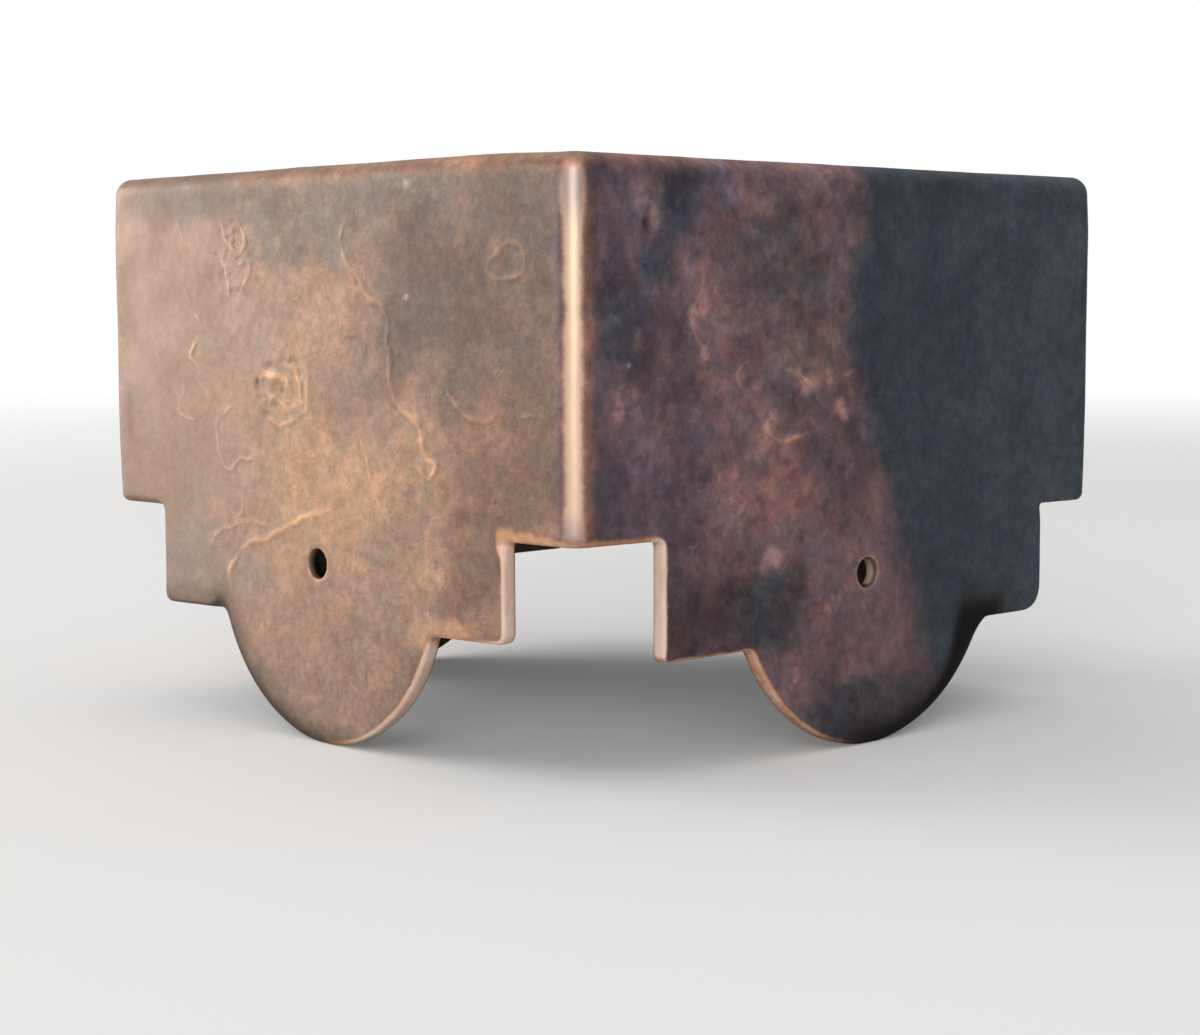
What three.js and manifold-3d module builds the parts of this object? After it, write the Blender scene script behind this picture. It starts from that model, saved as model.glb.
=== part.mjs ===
// Square cast-bronze cap for a timber post: a flat roof plate with four thin skirts, hollow below.
// Each skirt hangs lower in the middle of its side than at the corners and ends in a round lobe,
// with one nail hole through it. The cap stands on the four lobes, with the origin in the middle of
// the surface that it stands on. Millimetres, +Z up.

import * as THREE from 'three';
import { mergeVertices } from 'three/addons/utils/BufferGeometryUtils.js';
import Module from 'manifold-3d';

const wasm = await Module();
wasm.setup();

// The shell
const side = 101.6;           // across the outside of opposite skirts
const height = 76.4;          // top of the roof to the lowest point of the lobes
const wall = 2.1;             // thickness of the skirts and of the roof
const cornerRadius = 3.0;     // upright outside corners
const roofEdgeRadius = 2.4;   // rounding where the roof turns down into the skirts
const hollowRadius = 1.0;     // upright inside corners

// The lower outline of every skirt
const cornerEdge = 29.8;      // height of the short skirt at the corners
const flapWidth = 75.5;       // width of the deeper middle part
const notchFillet = 0.9;      // inside corner between the short skirt and the deeper part
const flapFillet = 1.7;       // lower outside corners of the deeper part
const lobeFillet = 1.3;       // inside corner between the hem and the lobe
const lobeFoot = 3.0;         // width of the flat spot that each lobe stands on
const holeDiameter = 4.0;     // nail hole

// The four skirts, drawn by hand in the mould, so that no two are quite alike. Each is seen from
// outside. shift is how far its outline sits to the right of the middle of its side. hem holds the
// heights of its lower edge at the left and the right end, lobe the radius and how far its centre
// sits to the right of the outline's middle, and hole its place to the right of that and its height.
const skirts = [
  { turn: 0, shift: 0.0, hem: [15.9, 17.1], lobe: [24.6, 0.0], hole: [-0.3, 24.2] },
  { turn: 1, shift: 1.5, hem: [14.8, 14.8], lobe: [25.9, 1.4], hole: [-0.1, 23.0] },
  { turn: 2, shift: -0.4, hem: [15.6, 16.2], lobe: [25.0, 0.5], hole: [0.0, 23.8] },
  { turn: 3, shift: 0.3, hem: [16.3, 15.5], lobe: [25.2, -0.4], hole: [0.2, 23.5] },
];

// How finely round stretches are divided, where an arc gets twice the steps of another curve, how
// far cutters reach past what they cut, and how far down they go
const curveSteps = 4;
const outlineSteps = 8;
const holeSteps = 24;
const cutReach = 4;
const lowEnd = -2 * cutReach;

// A closed geometry as a solid that can be joined and cut.
function solid(geometry) {
  const bare = geometry.clone();
  bare.deleteAttribute('normal');
  bare.deleteAttribute('uv');
  const merged = mergeVertices(bare, 1e-4);
  const mesh = new wasm.Mesh({
    numProp: 3,
    vertProperties: new Float32Array(merged.attributes.position.array),
    triVerts: new Uint32Array(merged.index.array),
  });
  return new wasm.Manifold(mesh);
}

// A solid back as a geometry, with flat faces.
function toGeometry(body) {
  const mesh = body.getMesh();
  const geometry = new THREE.BufferGeometry();
  geometry.setAttribute('position', new THREE.BufferAttribute(new Float32Array(mesh.vertProperties), 3));
  geometry.setIndex(new THREE.BufferAttribute(new Uint32Array(mesh.triVerts), 1));
  geometry.computeVertexNormals();
  return geometry;
}

function roundedSquare(width, radius) {
  const half = width / 2 - radius;
  const shape = new THREE.Shape();
  shape.absarc(half, half, radius, 0, Math.PI / 2, false);
  shape.absarc(-half, half, radius, Math.PI / 2, Math.PI, false);
  shape.absarc(-half, -half, radius, Math.PI, Math.PI * 1.5, false);
  shape.absarc(half, -half, radius, Math.PI * 1.5, Math.PI * 2, false);
  return shape;
}

// The block that the shell is cut from: upright sides, with the roof's edge rounded over.
function outerBlock() {
  const geometry = new THREE.ExtrudeGeometry(roundedSquare(side, cornerRadius), {
    depth: height + cutReach - roofEdgeRadius,
    curveSegments: curveSteps,
    bevelThickness: roofEdgeRadius,
    bevelSize: roofEdgeRadius,
    bevelOffset: -roofEdgeRadius,
    bevelSegments: 2 * curveSteps,
  });
  return geometry.translate(0, 0, -cutReach);
}

// The space for the post, open below.
function hollow() {
  const geometry = new THREE.ExtrudeGeometry(roundedSquare(side - 2 * wall, hollowRadius), {
    depth: height - wall - lowEnd,
    curveSegments: curveSteps / 2,
    bevelEnabled: false,
  });
  return geometry.translate(0, 0, lowEnd);
}

// Goes to a corner and round it, on a curve that starts and ends at the fillet's length from it.
function roundCorner(shape, corner, next, fillet) {
  const start = new THREE.Vector2().subVectors(shape.currentPoint, corner).setLength(fillet).add(corner);
  const end = new THREE.Vector2().subVectors(next, corner).setLength(fillet).add(corner);
  shape.lineTo(start.x, start.y);
  shape.quadraticCurveTo(corner.x, corner.y, end.x, end.y);
}

// Everything below one skirt's lower edge, as a flat shape: x runs to the right along the side and
// y runs up. From the left corner it follows the short skirt, the deeper part, the lobe, and back.
function spaceBelow({ shift, hem, lobe }) {
  const point = (x, y) => new THREE.Vector2(x, y);
  const past = side / 2 + cutReach;
  const notchLeft = point(shift - flapWidth / 2, cornerEdge);
  const notchRight = point(shift + flapWidth / 2, cornerEdge);
  const flapLeft = point(notchLeft.x, hem[0]);
  const flapRight = point(notchRight.x, hem[1]);

  const [radius, lobeShift] = lobe;
  const centre = point(shift + lobeShift, Math.sqrt(radius ** 2 - (lobeFoot / 2) ** 2));
  const footAngle = Math.asin(lobeFoot / 2 / radius);
  const onHem = (x) => point(x, THREE.MathUtils.mapLinear(x, flapLeft.x, flapRight.x, ...hem));
  const halfWidth = Math.sqrt(radius ** 2 - (centre.y - onHem(centre.x).y) ** 2);
  const lobeLeft = onHem(centre.x - halfWidth);
  const lobeRight = onHem(centre.x + halfWidth);
  const angleOf = (corner) => corner.clone().sub(centre).angle();
  const arcStart = angleOf(lobeLeft) + lobeFillet / radius;
  const arcEnd = angleOf(lobeRight) - lobeFillet / radius;
  const afterLobeLeft = point(radius, 0).rotateAround(point(0, 0), arcStart).add(centre);

  const shape = new THREE.Shape();
  shape.moveTo(-past, lowEnd);
  shape.lineTo(-past, cornerEdge);
  roundCorner(shape, notchLeft, flapLeft, notchFillet);
  roundCorner(shape, flapLeft, lobeLeft, flapFillet);
  roundCorner(shape, lobeLeft, afterLobeLeft, lobeFillet);
  shape.absarc(centre.x, centre.y, radius, arcStart, 1.5 * Math.PI - footAngle, false);
  shape.absarc(centre.x, centre.y, radius, 1.5 * Math.PI + footAngle, arcEnd, false);
  roundCorner(shape, lobeRight, flapRight, lobeFillet);
  roundCorner(shape, flapRight, notchRight, flapFillet);
  roundCorner(shape, notchRight, point(past, cornerEdge), notchFillet);
  shape.lineTo(past, cornerEdge);
  shape.lineTo(past, lowEnd);
  return shape;
}

// Cuts one skirt to its outline, for the skirt that faces -Y.
function outlineCutter(skirt) {
  const depth = wall + cutReach;
  const geometry = new THREE.ExtrudeGeometry(spaceBelow(skirt), {
    depth,
    curveSegments: outlineSteps,
    bevelEnabled: false,
  });
  geometry.rotateX(Math.PI / 2);
  return geometry.translate(0, depth - side / 2 - cutReach / 2, 0);
}

function holeCutter({ shift, hole }) {
  const radius = holeDiameter / 2;
  const geometry = new THREE.CylinderGeometry(radius, radius, wall + cutReach, holeSteps);
  return geometry.translate(shift + hole[0], (wall - side) / 2, hole[1]);
}

function capGeometry() {
  let cap = solid(outerBlock()).subtract(solid(hollow()));
  for (const skirt of skirts) {
    for (const cutter of [outlineCutter(skirt), holeCutter(skirt)]) {
      cap = cap.subtract(solid(cutter.rotateZ((skirt.turn * Math.PI) / 2)));
    }
  }
  return toGeometry(cap);
}

const bronze = new THREE.MeshStandardMaterial({ color: 0x7d5f50, roughness: 0.5, metalness: 0.75 });

const postCap = new THREE.Mesh(capGeometry(), bronze);
postCap.name = 'post_cap';

const model = new THREE.Group();
model.add(postCap);

export default model;
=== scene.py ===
"""Square cast-bronze post cap with a worn, mottled patina, on a plain pale floor.

The cap is one casting: a flat roof and four thin skirts, each with notched corners, a round lobe and
an empty nail hole. Its outer skin is triangulated finely enough to carry the raised veins and the
crumpled spots of the casting, every edge is rounded over, and the patina is painted by rules on the
metal itself, along with painted light and shade: painted shade on the far edges of the lobes, a
painted highlight down the rubbed upright corners and over the worn cut edges, a painted sheen towards
the front's far end and a painted dark reflection over the right side's far half. Sizes are in
millimetres until a mesh is made, and in metres from there on.
"""

import math

import bmesh
import bpy
import numpy as np
from mathutils import Matrix, Vector, kdtree, noise
from mathutils.geometry import delaunay_2d_cdt


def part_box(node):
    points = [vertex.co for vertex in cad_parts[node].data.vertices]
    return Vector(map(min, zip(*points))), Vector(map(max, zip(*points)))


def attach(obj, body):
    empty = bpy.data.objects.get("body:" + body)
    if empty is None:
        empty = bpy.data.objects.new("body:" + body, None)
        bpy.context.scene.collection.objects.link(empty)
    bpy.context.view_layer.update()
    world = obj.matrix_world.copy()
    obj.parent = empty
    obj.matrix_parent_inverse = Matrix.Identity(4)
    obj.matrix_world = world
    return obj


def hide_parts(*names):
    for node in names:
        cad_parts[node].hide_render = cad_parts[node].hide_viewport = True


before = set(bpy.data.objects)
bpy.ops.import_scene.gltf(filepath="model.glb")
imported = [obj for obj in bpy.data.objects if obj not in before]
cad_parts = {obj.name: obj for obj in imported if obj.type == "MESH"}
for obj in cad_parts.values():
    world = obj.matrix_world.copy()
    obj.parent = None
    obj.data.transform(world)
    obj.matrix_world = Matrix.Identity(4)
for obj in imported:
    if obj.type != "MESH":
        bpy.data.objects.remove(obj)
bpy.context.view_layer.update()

# Noise vectors start from the clock unless they are given a seed
NOISE_SEED = 4
noise.seed_set(NOISE_SEED)

MM = 0.001
low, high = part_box("post_cap")

# The shell, in mm
SIDE = (high.x - low.x) / MM
HEIGHT = (high.z - low.z) / MM
WALL = 2.1
CORNER_RADIUS = 3.0
ROOF_EDGE_RADIUS = 2.4
INNER_FILLET = 0.8

# The lower outline of every skirt, in mm
CORNER_EDGE = 29.8
FLAP_WIDTH = 75.5
NOTCH_FILLET = 0.9
FLAP_FILLET = 1.7
WORN_FLAP_FILLET = 4.0
SHARP_FLAP_FILLET = 0.9
LOBE_FILLET = 1.3
LOBE_FOOT = 3.0
HOLE_RADIUS = 2.0

# The four skirts, each seen from outside, in mm. shift is how far the outline sits to the right of the
# middle of its side, hem the heights of the lower edge at its left and right ends, lobe the radius and
# how far its centre is right of the outline's middle, and hole its place right of that and its height.
SKIRTS = (
    {"turn": 0, "shift": 0.0, "hem": (15.9, 17.1), "lobe": (24.6, 0.0), "hole": (-0.3, 24.2)},
    {"turn": 1, "shift": 1.5, "hem": (14.8, 14.8), "lobe": (25.9, 1.4), "hole": (-0.1, 23.0)},
    {"turn": 2, "shift": -0.4, "hem": (15.6, 16.2), "lobe": (25.0, 0.5), "hole": (0.0, 23.8)},
    {"turn": 3, "shift": 0.3, "hem": (16.3, 15.5), "lobe": (25.2, -0.4), "hole": (0.2, 23.5)},
)
FRONT, RIGHT, BACK, LEFT = range(4)
SEEN_SIDES = (FRONT, RIGHT)

# The kinds of cut edge along the lower outline of a skirt
AT_CORNER, AT_FLAP, AT_HEM, AT_LOBE = range(4)

# Rounding of the cut edges, in mm: how far it reaches in over the face, and how deep into the wall.
# The first two hold a value for each kind of edge.
EDGE_REACH = (1.1, 0.5, 0.5, 0.6)
EDGE_DEPTH = (0.95, 0.5, 0.45, 0.55)
INNER_EDGE = 0.35
LOBE_REACH = 2.3
LOBE_DEPTH = 1.15
NOTCH_BEVEL_REACH = 2.7
HOLE_REACH = 0.15
HOLE_DEPTH = 0.4
HOLE_HALO = 1.5
HOLE_WEAR = 0.34

# The warp of the casting, in mm: how far the front edge of the roof rises towards its left end, and how
# far the corner between right and back and the one between left and front bow out along each side
FRONT_LIFT = 0.4
RIGHT_BOW = 0.22
LEFT_BOW = 0.2

# Mesh spacing, in mm
EDGE_STEP = 0.5
SEAM_STEP = 0.8
SEEN_STEP = 0.68
HIDDEN_STEP = 1.05
FINE_STEP = 0.42
ROOF_STEP = 1.4
INNER_STEP = 3.2
VEIN_STEP = 0.32
PIT_STEP = 0.45

# How near points of the skin may come, in mm: to each other where they are fine, to the skin's rim, and
# to its rim at a corner
FINE_GAP = 0.2
RIM_GAP = 0.42
CORNER_RIM_GAP = 0.15

# Rows of points beside the middle of a vein, in mm, and rings round a pit, as shares of its radius
VEIN_ROWS = (0.0, 0.24, -0.24, 0.5, -0.5, 0.9, -0.9)
PIT_RINGS = (0.4, 0.8, 1.2)

# Numbers of upright columns over half a corner, of points round a nail hole and of points on a fillet
CORNER_COLUMNS = 9
HOLE_POINTS = 36
FILLET_POINTS = 7

# Rows of faces over the outer rounding of a cut edge, across the cut, and over the inner rounding
OUTER_STEPS = 6
CUT_STEPS = 2
INNER_STEPS = 2

# Rows of points over the rounding of the roof's edge, outside and inside
ROOF_EDGE_ROWS = 8
INNER_ROOF_ROWS = 4

# Vertices nearer than this are joined, in m
MERGE_GAP = 2e-6

# What the random draws start from
MESH_SEED = 11
VEIN_SEED = 7

# The surface of each side is unrolled: x runs right along the flat and on to the middle of each corner.
FLAT_HALF = SIDE / 2 - CORNER_RADIUS
SEAM_X = FLAT_HALF + CORNER_RADIUS * math.pi / 4
SKIN_TOP = HEIGHT - ROOF_EDGE_RADIUS


def vein(*points, wide=0.95, high=0.035, ring=False):
    """A raised vein through drawn (right, up) places in mm, with its foot's width and its height."""
    return {"points": points, "wide": wide, "high": high, "ring": ring}


FRONT_VEINS = (
    vein((7.2, 69.8), (6.0, 67.8), (5.8, 66.2), (7.0, 63.8), (9.2, 62.0), (10.2, 60.4), (12.2, 59.0),
         (14.2, 58.7), (15.2, 57.2), (15.5, 55.2), (15.0, 53.6), (15.8, 52.4), (15.8, 49.8), (16.4, 47.0),
         (18.3, 45.0), (21.0, 43.6), (22.0, 42.0), (22.8, 39.8), (23.6, 38.8), (24.8, 38.5), (24.6, 37.3),
         (23.1, 36.9), (21.2, 38.0), wide=1.4, high=0.085),
    vein((20.6, 37.4), (20.6, 36.0), (21.4, 34.0), (21.8, 31.8)),
    vein((35.0, 62.9), (35.9, 64.0), (36.9, 64.9), (39.4, 65.9), (41.4, 65.4), (42.1, 63.8), (41.9, 62.5),
         (40.1, 61.8), (37.3, 61.7), (35.5, 62.3), wide=1.3, high=0.05, ring=True),
    vein((27.6, 47.5), (29.3, 46.0), (31.3, 44.8), (33.6, 44.3), (35.5, 44.5), (36.8, 45.3),
         wide=1.2, high=0.085),
    vein((35.5, 44.3), (35.7, 43.0)),
    vein((46.2, 49.8), (46.6, 47.9), (46.4, 45.8)),
    vein((40.6, 45.0), (43.1, 45.3), (45.3, 45.2)),
    vein((9.0, 42.0), (10.7, 38.6), (12.8, 33.5), (14.8, 32.1), high=0.05),
    vein((4.6, 31.7), (0.0, 30.9), (-4.1, 29.9), (-9.0, 28.0), (-12.6, 26.5), (-15.9, 25.9), (-18.5, 24.4),
         (-20.6, 22.1), (-21.1, 20.4), (-20.5, 18.2), wide=1.4, high=0.08),
    vein((-9.7, 28.4), (-13.3, 28.7), (-16.9, 28.9), (-19.1, 28.1), (-22.0, 27.6), (-24.7, 26.3),
         (-25.5, 24.0)),
    vein((-21.5, 44.0), (-23.7, 41.6), (-23.0, 37.9), (-21.0, 35.7), (-18.5, 37.2), (-14.9, 37.4),
         (-13.3, 35.6)),
    vein((-17.7, 35.4), (-17.4, 33.1), (-17.9, 30.2), (-20.0, 29.0)),
    vein((-36.8, 72.2), (-35.8, 71.0), (-35.3, 69.8)),
    vein((-32.4, 69.5), (-31.7, 68.3), (-30.9, 66.6)),
    vein((-31.3, 63.1), (-30.9, 60.8), (-29.4, 58.0), (-27.4, 56.0), (-25.4, 54.6)),
    vein((-28.0, 53.7), (-29.1, 52.5), (-29.6, 51.4), (-28.1, 50.0), (-27.6, 49.1), high=0.08),
    vein((-31.3, 47.3), (-33.0, 44.4), (-31.5, 42.4), (-28.4, 42.8), (-25.8, 44.0), (-25.2, 45.2)),
    vein((-22.3, 40.4), (-22.3, 42.1), (-21.2, 43.9), (-18.7, 45.1)),
    vein((-29.9, 19.3), (-28.0, 20.4), (-26.6, 19.8), (-26.1, 18.3)),
    vein((14.1, 20.7), (16.0, 21.4), (18.4, 21.6), (19.3, 20.7), (18.7, 19.1), (17.1, 18.2), (15.3, 18.8),
         (14.7, 19.7), high=0.02, ring=True),
    vein((5.5, 10.7), (6.6, 9.0), (8.7, 7.5), high=0.05),
    # The slanting folds of the crumpled oval, and its outline
    vein((-13.0, 48.3), (-12.0, 48.9), (-10.0, 48.8), (-7.8, 48.7), (-6.5, 48.1), (-5.9, 47.2), (-5.6, 46.2),
         (-5.0, 45.0), wide=1.9, high=0.12),
    vein((-7.2, 50.6), (-5.4, 50.2), (-4.3, 49.2), (-3.8, 47.9), (-3.9, 46.8), (-3.3, 45.6),
         wide=1.8, high=0.12),
    vein((-12.4, 49.8), (-11.2, 49.5), (-10.3, 49.9), wide=1.2, high=0.05),
    vein((-12.4, 47.2), (-10.2, 46.1), (-8.2, 45.5), (-6.8, 44.6), (-5.9, 43.6), wide=1.6, high=0.1),
    vein((-12.6, 44.6), (-10.8, 44.3), (-8.9, 43.9), wide=1.0, high=0.07),
    vein((-12.4, 43.3), (-10.6, 43.2), (-9.2, 42.8), (-8.1, 42.4), (-7.0, 42.6), (-5.8, 43.2),
         wide=0.9, high=0.08),
    vein((-2.9, 51.2), (-2.1, 49.4), (-2.2, 47.5), (-2.1, 46.0), (-2.6, 44.6), (-4.2, 43.6),
         wide=1.2, high=0.03),
    vein((-15.2, 48.4), (-14.4, 47.2), (-14.3, 45.3), (-13.8, 43.7), wide=1.0, high=0.02),
    # The knotted string near the top left, which narrows downwards
    vein((-21.7, 69.8), (-21.2, 68.6), (-20.6, 67.4), (-19.4, 66.2), (-18.7, 65.4), wide=1.1, high=0.09),
    vein((-17.8, 69.5), (-16.8, 68.5), (-16.0, 67.6), (-16.2, 66.2), (-17.2, 65.4), wide=1.1, high=0.09),
    vein((-21.7, 64.6), (-20.7, 63.6), (-20.7, 62.5), (-20.1, 61.1), (-19.8, 60.0), (-19.1, 59.4),
         wide=1.0, high=0.1),
    vein((-15.6, 64.5), (-15.1, 63.6), (-15.6, 62.2), (-16.4, 61.3), (-17.1, 60.1), (-18.1, 59.5),
         wide=0.9, high=0.07),
    vein((-18.9, 64.6), (-17.6, 64.0), (-16.4, 64.3), wide=0.9, high=0.07),
)
RIGHT_VEINS = (
    vein((-6.0, 64.3), (-5.9, 61.4), (-9.1, 60.1), (-12.1, 59.3), (-14.4, 59.3), (-16.7, 58.1),
         (-17.4, 57.3), wide=1.3, high=0.08),
    vein((-4.7, 58.8), (-5.1, 57.5), (-3.9, 56.4), (-2.3, 57.2), (-1.5, 58.5), (-3.1, 58.9),
         high=0.13, ring=True),
    vein((-5.1, 57.5), (-4.9, 55.0), (-3.6, 52.6), (-1.6, 51.0)),
    vein((-21.6, 51.5), (-23.1, 50.3), (-23.3, 49.0), (-22.4, 48.0), (-20.8, 47.6), (-19.8, 48.4), high=0.12),
    vein((-12.6, 50.0), (-11.2, 49.0), (-10.0, 48.2), wide=1.2, high=0.1),
    vein((-4.2, 46.2), (-4.6, 45.2), (-3.6, 44.4), (-2.6, 43.4), wide=1.2, high=0.1),
    vein((-6.9, 50.3), (-6.4, 49.2), (-5.5, 48.2), high=0.06),
    vein((-4.0, 48.8), (-3.1, 49.2), (-1.4, 49.8), high=0.06),
    vein((-22.2, 47.5), (-24.0, 45.0), (-24.8, 42.7), (-25.5, 40.2), (-23.7, 38.6)),
    vein((-16.6, 44.7), (-18.1, 43.0), (-15.6, 41.2), (-13.2, 41.5), (-10.5, 42.1), high=0.09),
    vein((-29.8, 63.1), (-29.5, 60.9), (-31.6, 57.2), (-31.2, 55.4), (-29.1, 51.9), high=0.08),
    vein((-27.3, 64.4), (-26.2, 62.4), (-24.4, 61.1), (-24.1, 59.4)),
    vein((-23.6, 35.0), (-21.7, 33.6), (-24.3, 31.9), (-29.4, 30.9), high=0.09),
    vein((-32.5, 28.7), (-27.5, 29.2), (-23.0, 28.0), high=0.05),
    vein((-23.6, 20.4), (-22.3, 21.6), (-20.0, 20.7), (-20.3, 18.9), (-22.0, 18.2), high=0.08, ring=True),
    vein((-32.5, 18.9), (-29.4, 20.9), (-26.2, 21.9), (-23.4, 21.0)),
    vein((10.8, 42.3), (11.9, 40.3), (12.0, 35.4)),
    vein((26.5, 53.1), (26.1, 51.2)),
    vein((-24.0, 32.2), (-23.6, 29.0), (-21.7, 31.1), (-19.1, 33.7)),
)


def pit(right, up, wide=1.0, deep=0.3):
    """A small hollow at a (right, up) place in mm, with its radius and depth."""
    return {"place": (right, up), "wide": wide, "deep": deep}


def wart(right, up):
    """A tiny round bump at a (right, up) place in mm."""
    return pit(right, up, 0.45, -0.1)


FRONT_PITS = (
    pit(-13.5, 48.0, 0.9, 0.1), pit(-10.7, 50.3, 0.8, 0.1), pit(-5.6, 51.0, 0.8, 0.1),
    pit(-7.7, 46.9, 0.8, 0.08), pit(-19.0, 69.6, 0.7, 0.08), pit(-18.4, 68.2, 0.8, 0.12),
    pit(-18.5, 67.0, 0.7, 0.1), pit(-20.3, 65.4, 0.8, 0.1), pit(-22.9, 65.4, 0.6, 0.06),
    pit(-14.9, 65.1, 0.8, 0.1), pit(-19.6, 62.6, 0.6, 0.07), pit(-17.7, 60.5, 0.8, 0.08),
    pit(38.8, 63.6, 2.2, 0.05), wart(19.6, 73.8), wart(19.3, 59.4),
)
RIGHT_PITS = (
    pit(-3.7, 57.8, 0.8, 0.2), pit(-21.2, 48.8, 1.1, 0.16), pit(-39.2, 68.2, 0.8, 0.16),
    pit(-21.8, 19.8, 1.0, 0.12), pit(-43.4, 46.0, 0.8, 0.12), pit(-15.6, 43.0, 1.0, 0.12), wart(-42.0, 51.4),
)

# Crumpled spots: (right, up), half width and half height in mm
FRONT_CRUMPLES = (((-8.4, 47.0), 7.8, 6.2), ((-18.3, 64.8), 4.8, 6.6))
RIGHT_CRUMPLES = (((-21.2, 48.6), 4.0, 3.6), ((-22.0, 19.8), 4.0, 3.2))


def placed(name, data):
    """A new object in the scene."""
    made = bpy.data.objects.new(name, data)
    bpy.context.scene.collection.objects.link(made)
    return made


def carry(mesh, name, values):
    """Writes one number for each point of a mesh, as an attribute."""
    mesh.attributes.new(name, "FLOAT", "POINT").data.foreach_set("value", values.astype(np.float32))


def unrolled_to_place(turn, x, z, depth=0.0):
    """Points in mm from unrolled ones: x along the side, z up, depth below the outer skin."""
    x, z, depth = np.broadcast_arrays(np.asarray(x, float), z, depth)
    bend = np.sign(x) * np.clip(np.abs(x) - FLAT_HALF, 0, None) / CORNER_RADIUS
    along = np.clip(x, -FLAT_HALF, FLAT_HALF) + np.sin(bend) * (CORNER_RADIUS - depth)
    out = FLAT_HALF + np.cos(bend) * (CORNER_RADIUS - depth)
    angle = turn * math.pi / 2
    return np.stack([
        along * math.cos(angle) + out * math.sin(angle),
        along * math.sin(angle) - out * math.cos(angle),
        z,
    ], axis=-1)


def seen_from(turn, places):
    """The same places turned so that the given side faces -Y."""
    angle = turn * math.pi / 2
    along = places[:, 0] * math.cos(angle) + places[:, 1] * math.sin(angle)
    back = places[:, 1] * math.cos(angle) - places[:, 0] * math.sin(angle)
    return along, -back, places[:, 2]


def straight(start, end, step=EDGE_STEP):
    """Points from start up to, but without, end."""
    count = max(1, round(math.dist(start, end) / step))
    share = np.arange(count)[:, None] / count
    return np.asarray(start) * (1 - share) + np.asarray(end) * share


def towards(corner, other, distance):
    way = np.asarray(other, float) - corner
    return corner + way / np.linalg.norm(way) * distance


def rounded(start, corner, end, count=FILLET_POINTS):
    """Points on the curve that rounds a corner, up to, but without, end."""
    share = np.arange(count)[:, None] / count
    return (1 - share) ** 2 * start + 2 * share * (1 - share) * corner + share ** 2 * end


def skirt_outline(skirt):
    """The lower edge of one skirt from seam to seam, as (x, z) points, and the kind of edge at each."""
    half = FLAP_WIDTH / 2
    notch_left = np.array([skirt["shift"] - half, CORNER_EDGE])
    notch_right = np.array([skirt["shift"] + half, CORNER_EDGE])
    flap_left = np.array([notch_left[0], skirt["hem"][0]])
    flap_right = np.array([notch_right[0], skirt["hem"][1]])
    radius, lobe_shift = skirt["lobe"]
    centre = np.array([skirt["shift"] + lobe_shift, math.sqrt(radius ** 2 - (LOBE_FOOT / 2) ** 2)])

    def on_hem(x):
        share = (x - flap_left[0]) / FLAP_WIDTH
        return np.array([x, flap_left[1] * (1 - share) + flap_right[1] * share])

    def on_lobe(angle):
        return centre + radius * np.array([math.cos(angle), math.sin(angle)])

    half_width = math.sqrt(radius ** 2 - (centre[1] - on_hem(centre[0])[1]) ** 2)
    lobe_left = on_hem(centre[0] - half_width)
    lobe_right = on_hem(centre[0] + half_width)
    arc_start = math.atan2(*(lobe_left - centre)[::-1]) + 2 * math.pi + LOBE_FILLET / radius
    arc_end = math.atan2(*(lobe_right - centre)[::-1]) + 2 * math.pi - LOBE_FILLET / radius
    foot = math.asin(LOBE_FOOT / 2 / radius)
    arc_steps = round((1.5 * math.pi - foot - arc_start) * radius / EDGE_STEP)
    left_arc = [on_lobe(a) for a in np.linspace(arc_start, 1.5 * math.pi - foot, arc_steps, False)]
    right_arc = [on_lobe(a) for a in np.linspace(1.5 * math.pi + foot, arc_end, arc_steps, False)]

    stretches = []
    uneven = skirt["turn"] == RIGHT
    corners = [
        (notch_left, flap_left, NOTCH_FILLET, AT_CORNER, AT_FLAP),
        (flap_left, lobe_left, SHARP_FLAP_FILLET if uneven else FLAP_FILLET, AT_FLAP, AT_HEM),
        (lobe_left, on_lobe(arc_start), LOBE_FILLET, AT_HEM, AT_LOBE),
        (lobe_right, flap_right, LOBE_FILLET, AT_LOBE, AT_HEM),
        (flap_right, notch_right, WORN_FLAP_FILLET if uneven else FLAP_FILLET, AT_HEM, AT_FLAP),
        (notch_right, np.array([SEAM_X, CORNER_EDGE]), NOTCH_FILLET, AT_FLAP, AT_CORNER),
    ]
    place = np.array([-SEAM_X, CORNER_EDGE])
    for corner, after, fillet, kind, next_kind in corners:
        before = towards(corner, place, fillet)
        beyond = towards(corner, after, fillet)
        if kind != AT_LOBE:
            stretches.append((straight(place, before), kind))
        stretches.append((rounded(before, corner, beyond), next_kind))
        place = beyond
        if next_kind == AT_LOBE:
            foot_line = straight(on_lobe(1.5 * math.pi - foot), on_lobe(1.5 * math.pi + foot))
            stretches += [(np.array(line), AT_LOBE) for line in (left_arc, foot_line, right_arc)]
            place = on_lobe(arc_end)
    end = np.array([SEAM_X, CORNER_EDGE])
    stretches += [(straight(place, end), AT_CORNER), (end[None], AT_CORNER)]
    points = np.concatenate([p for p, _ in stretches])
    labels = np.concatenate([[label] * len(p) for p, label in stretches])
    return points, labels


def left_normals(points, closed=False, level_ends=False):
    """Unit normals of a line of points, on its left-hand side."""
    along = np.roll(points, -1, 0) - np.roll(points, 1, 0) if closed else np.gradient(points, axis=0)
    if level_ends:
        along[[0, -1], 1] = 0
    normals = np.stack([-along[:, 1], along[:, 0]], 1)
    return normals / np.linalg.norm(normals, axis=1)[:, None]


def smoothed(values, passes=6):
    for _ in range(passes):
        values = np.convolve(np.pad(values, 1, "edge"), [0.25, 0.5, 0.25], "valid")
    return values


def smooth_step(value, start, end):
    """0 at start and before it, 1 at end and past it, where end may be the lower of the two."""
    share = np.clip((value - start) / (end - start), 0, 1)
    return share * share * (3 - 2 * share)


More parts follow.
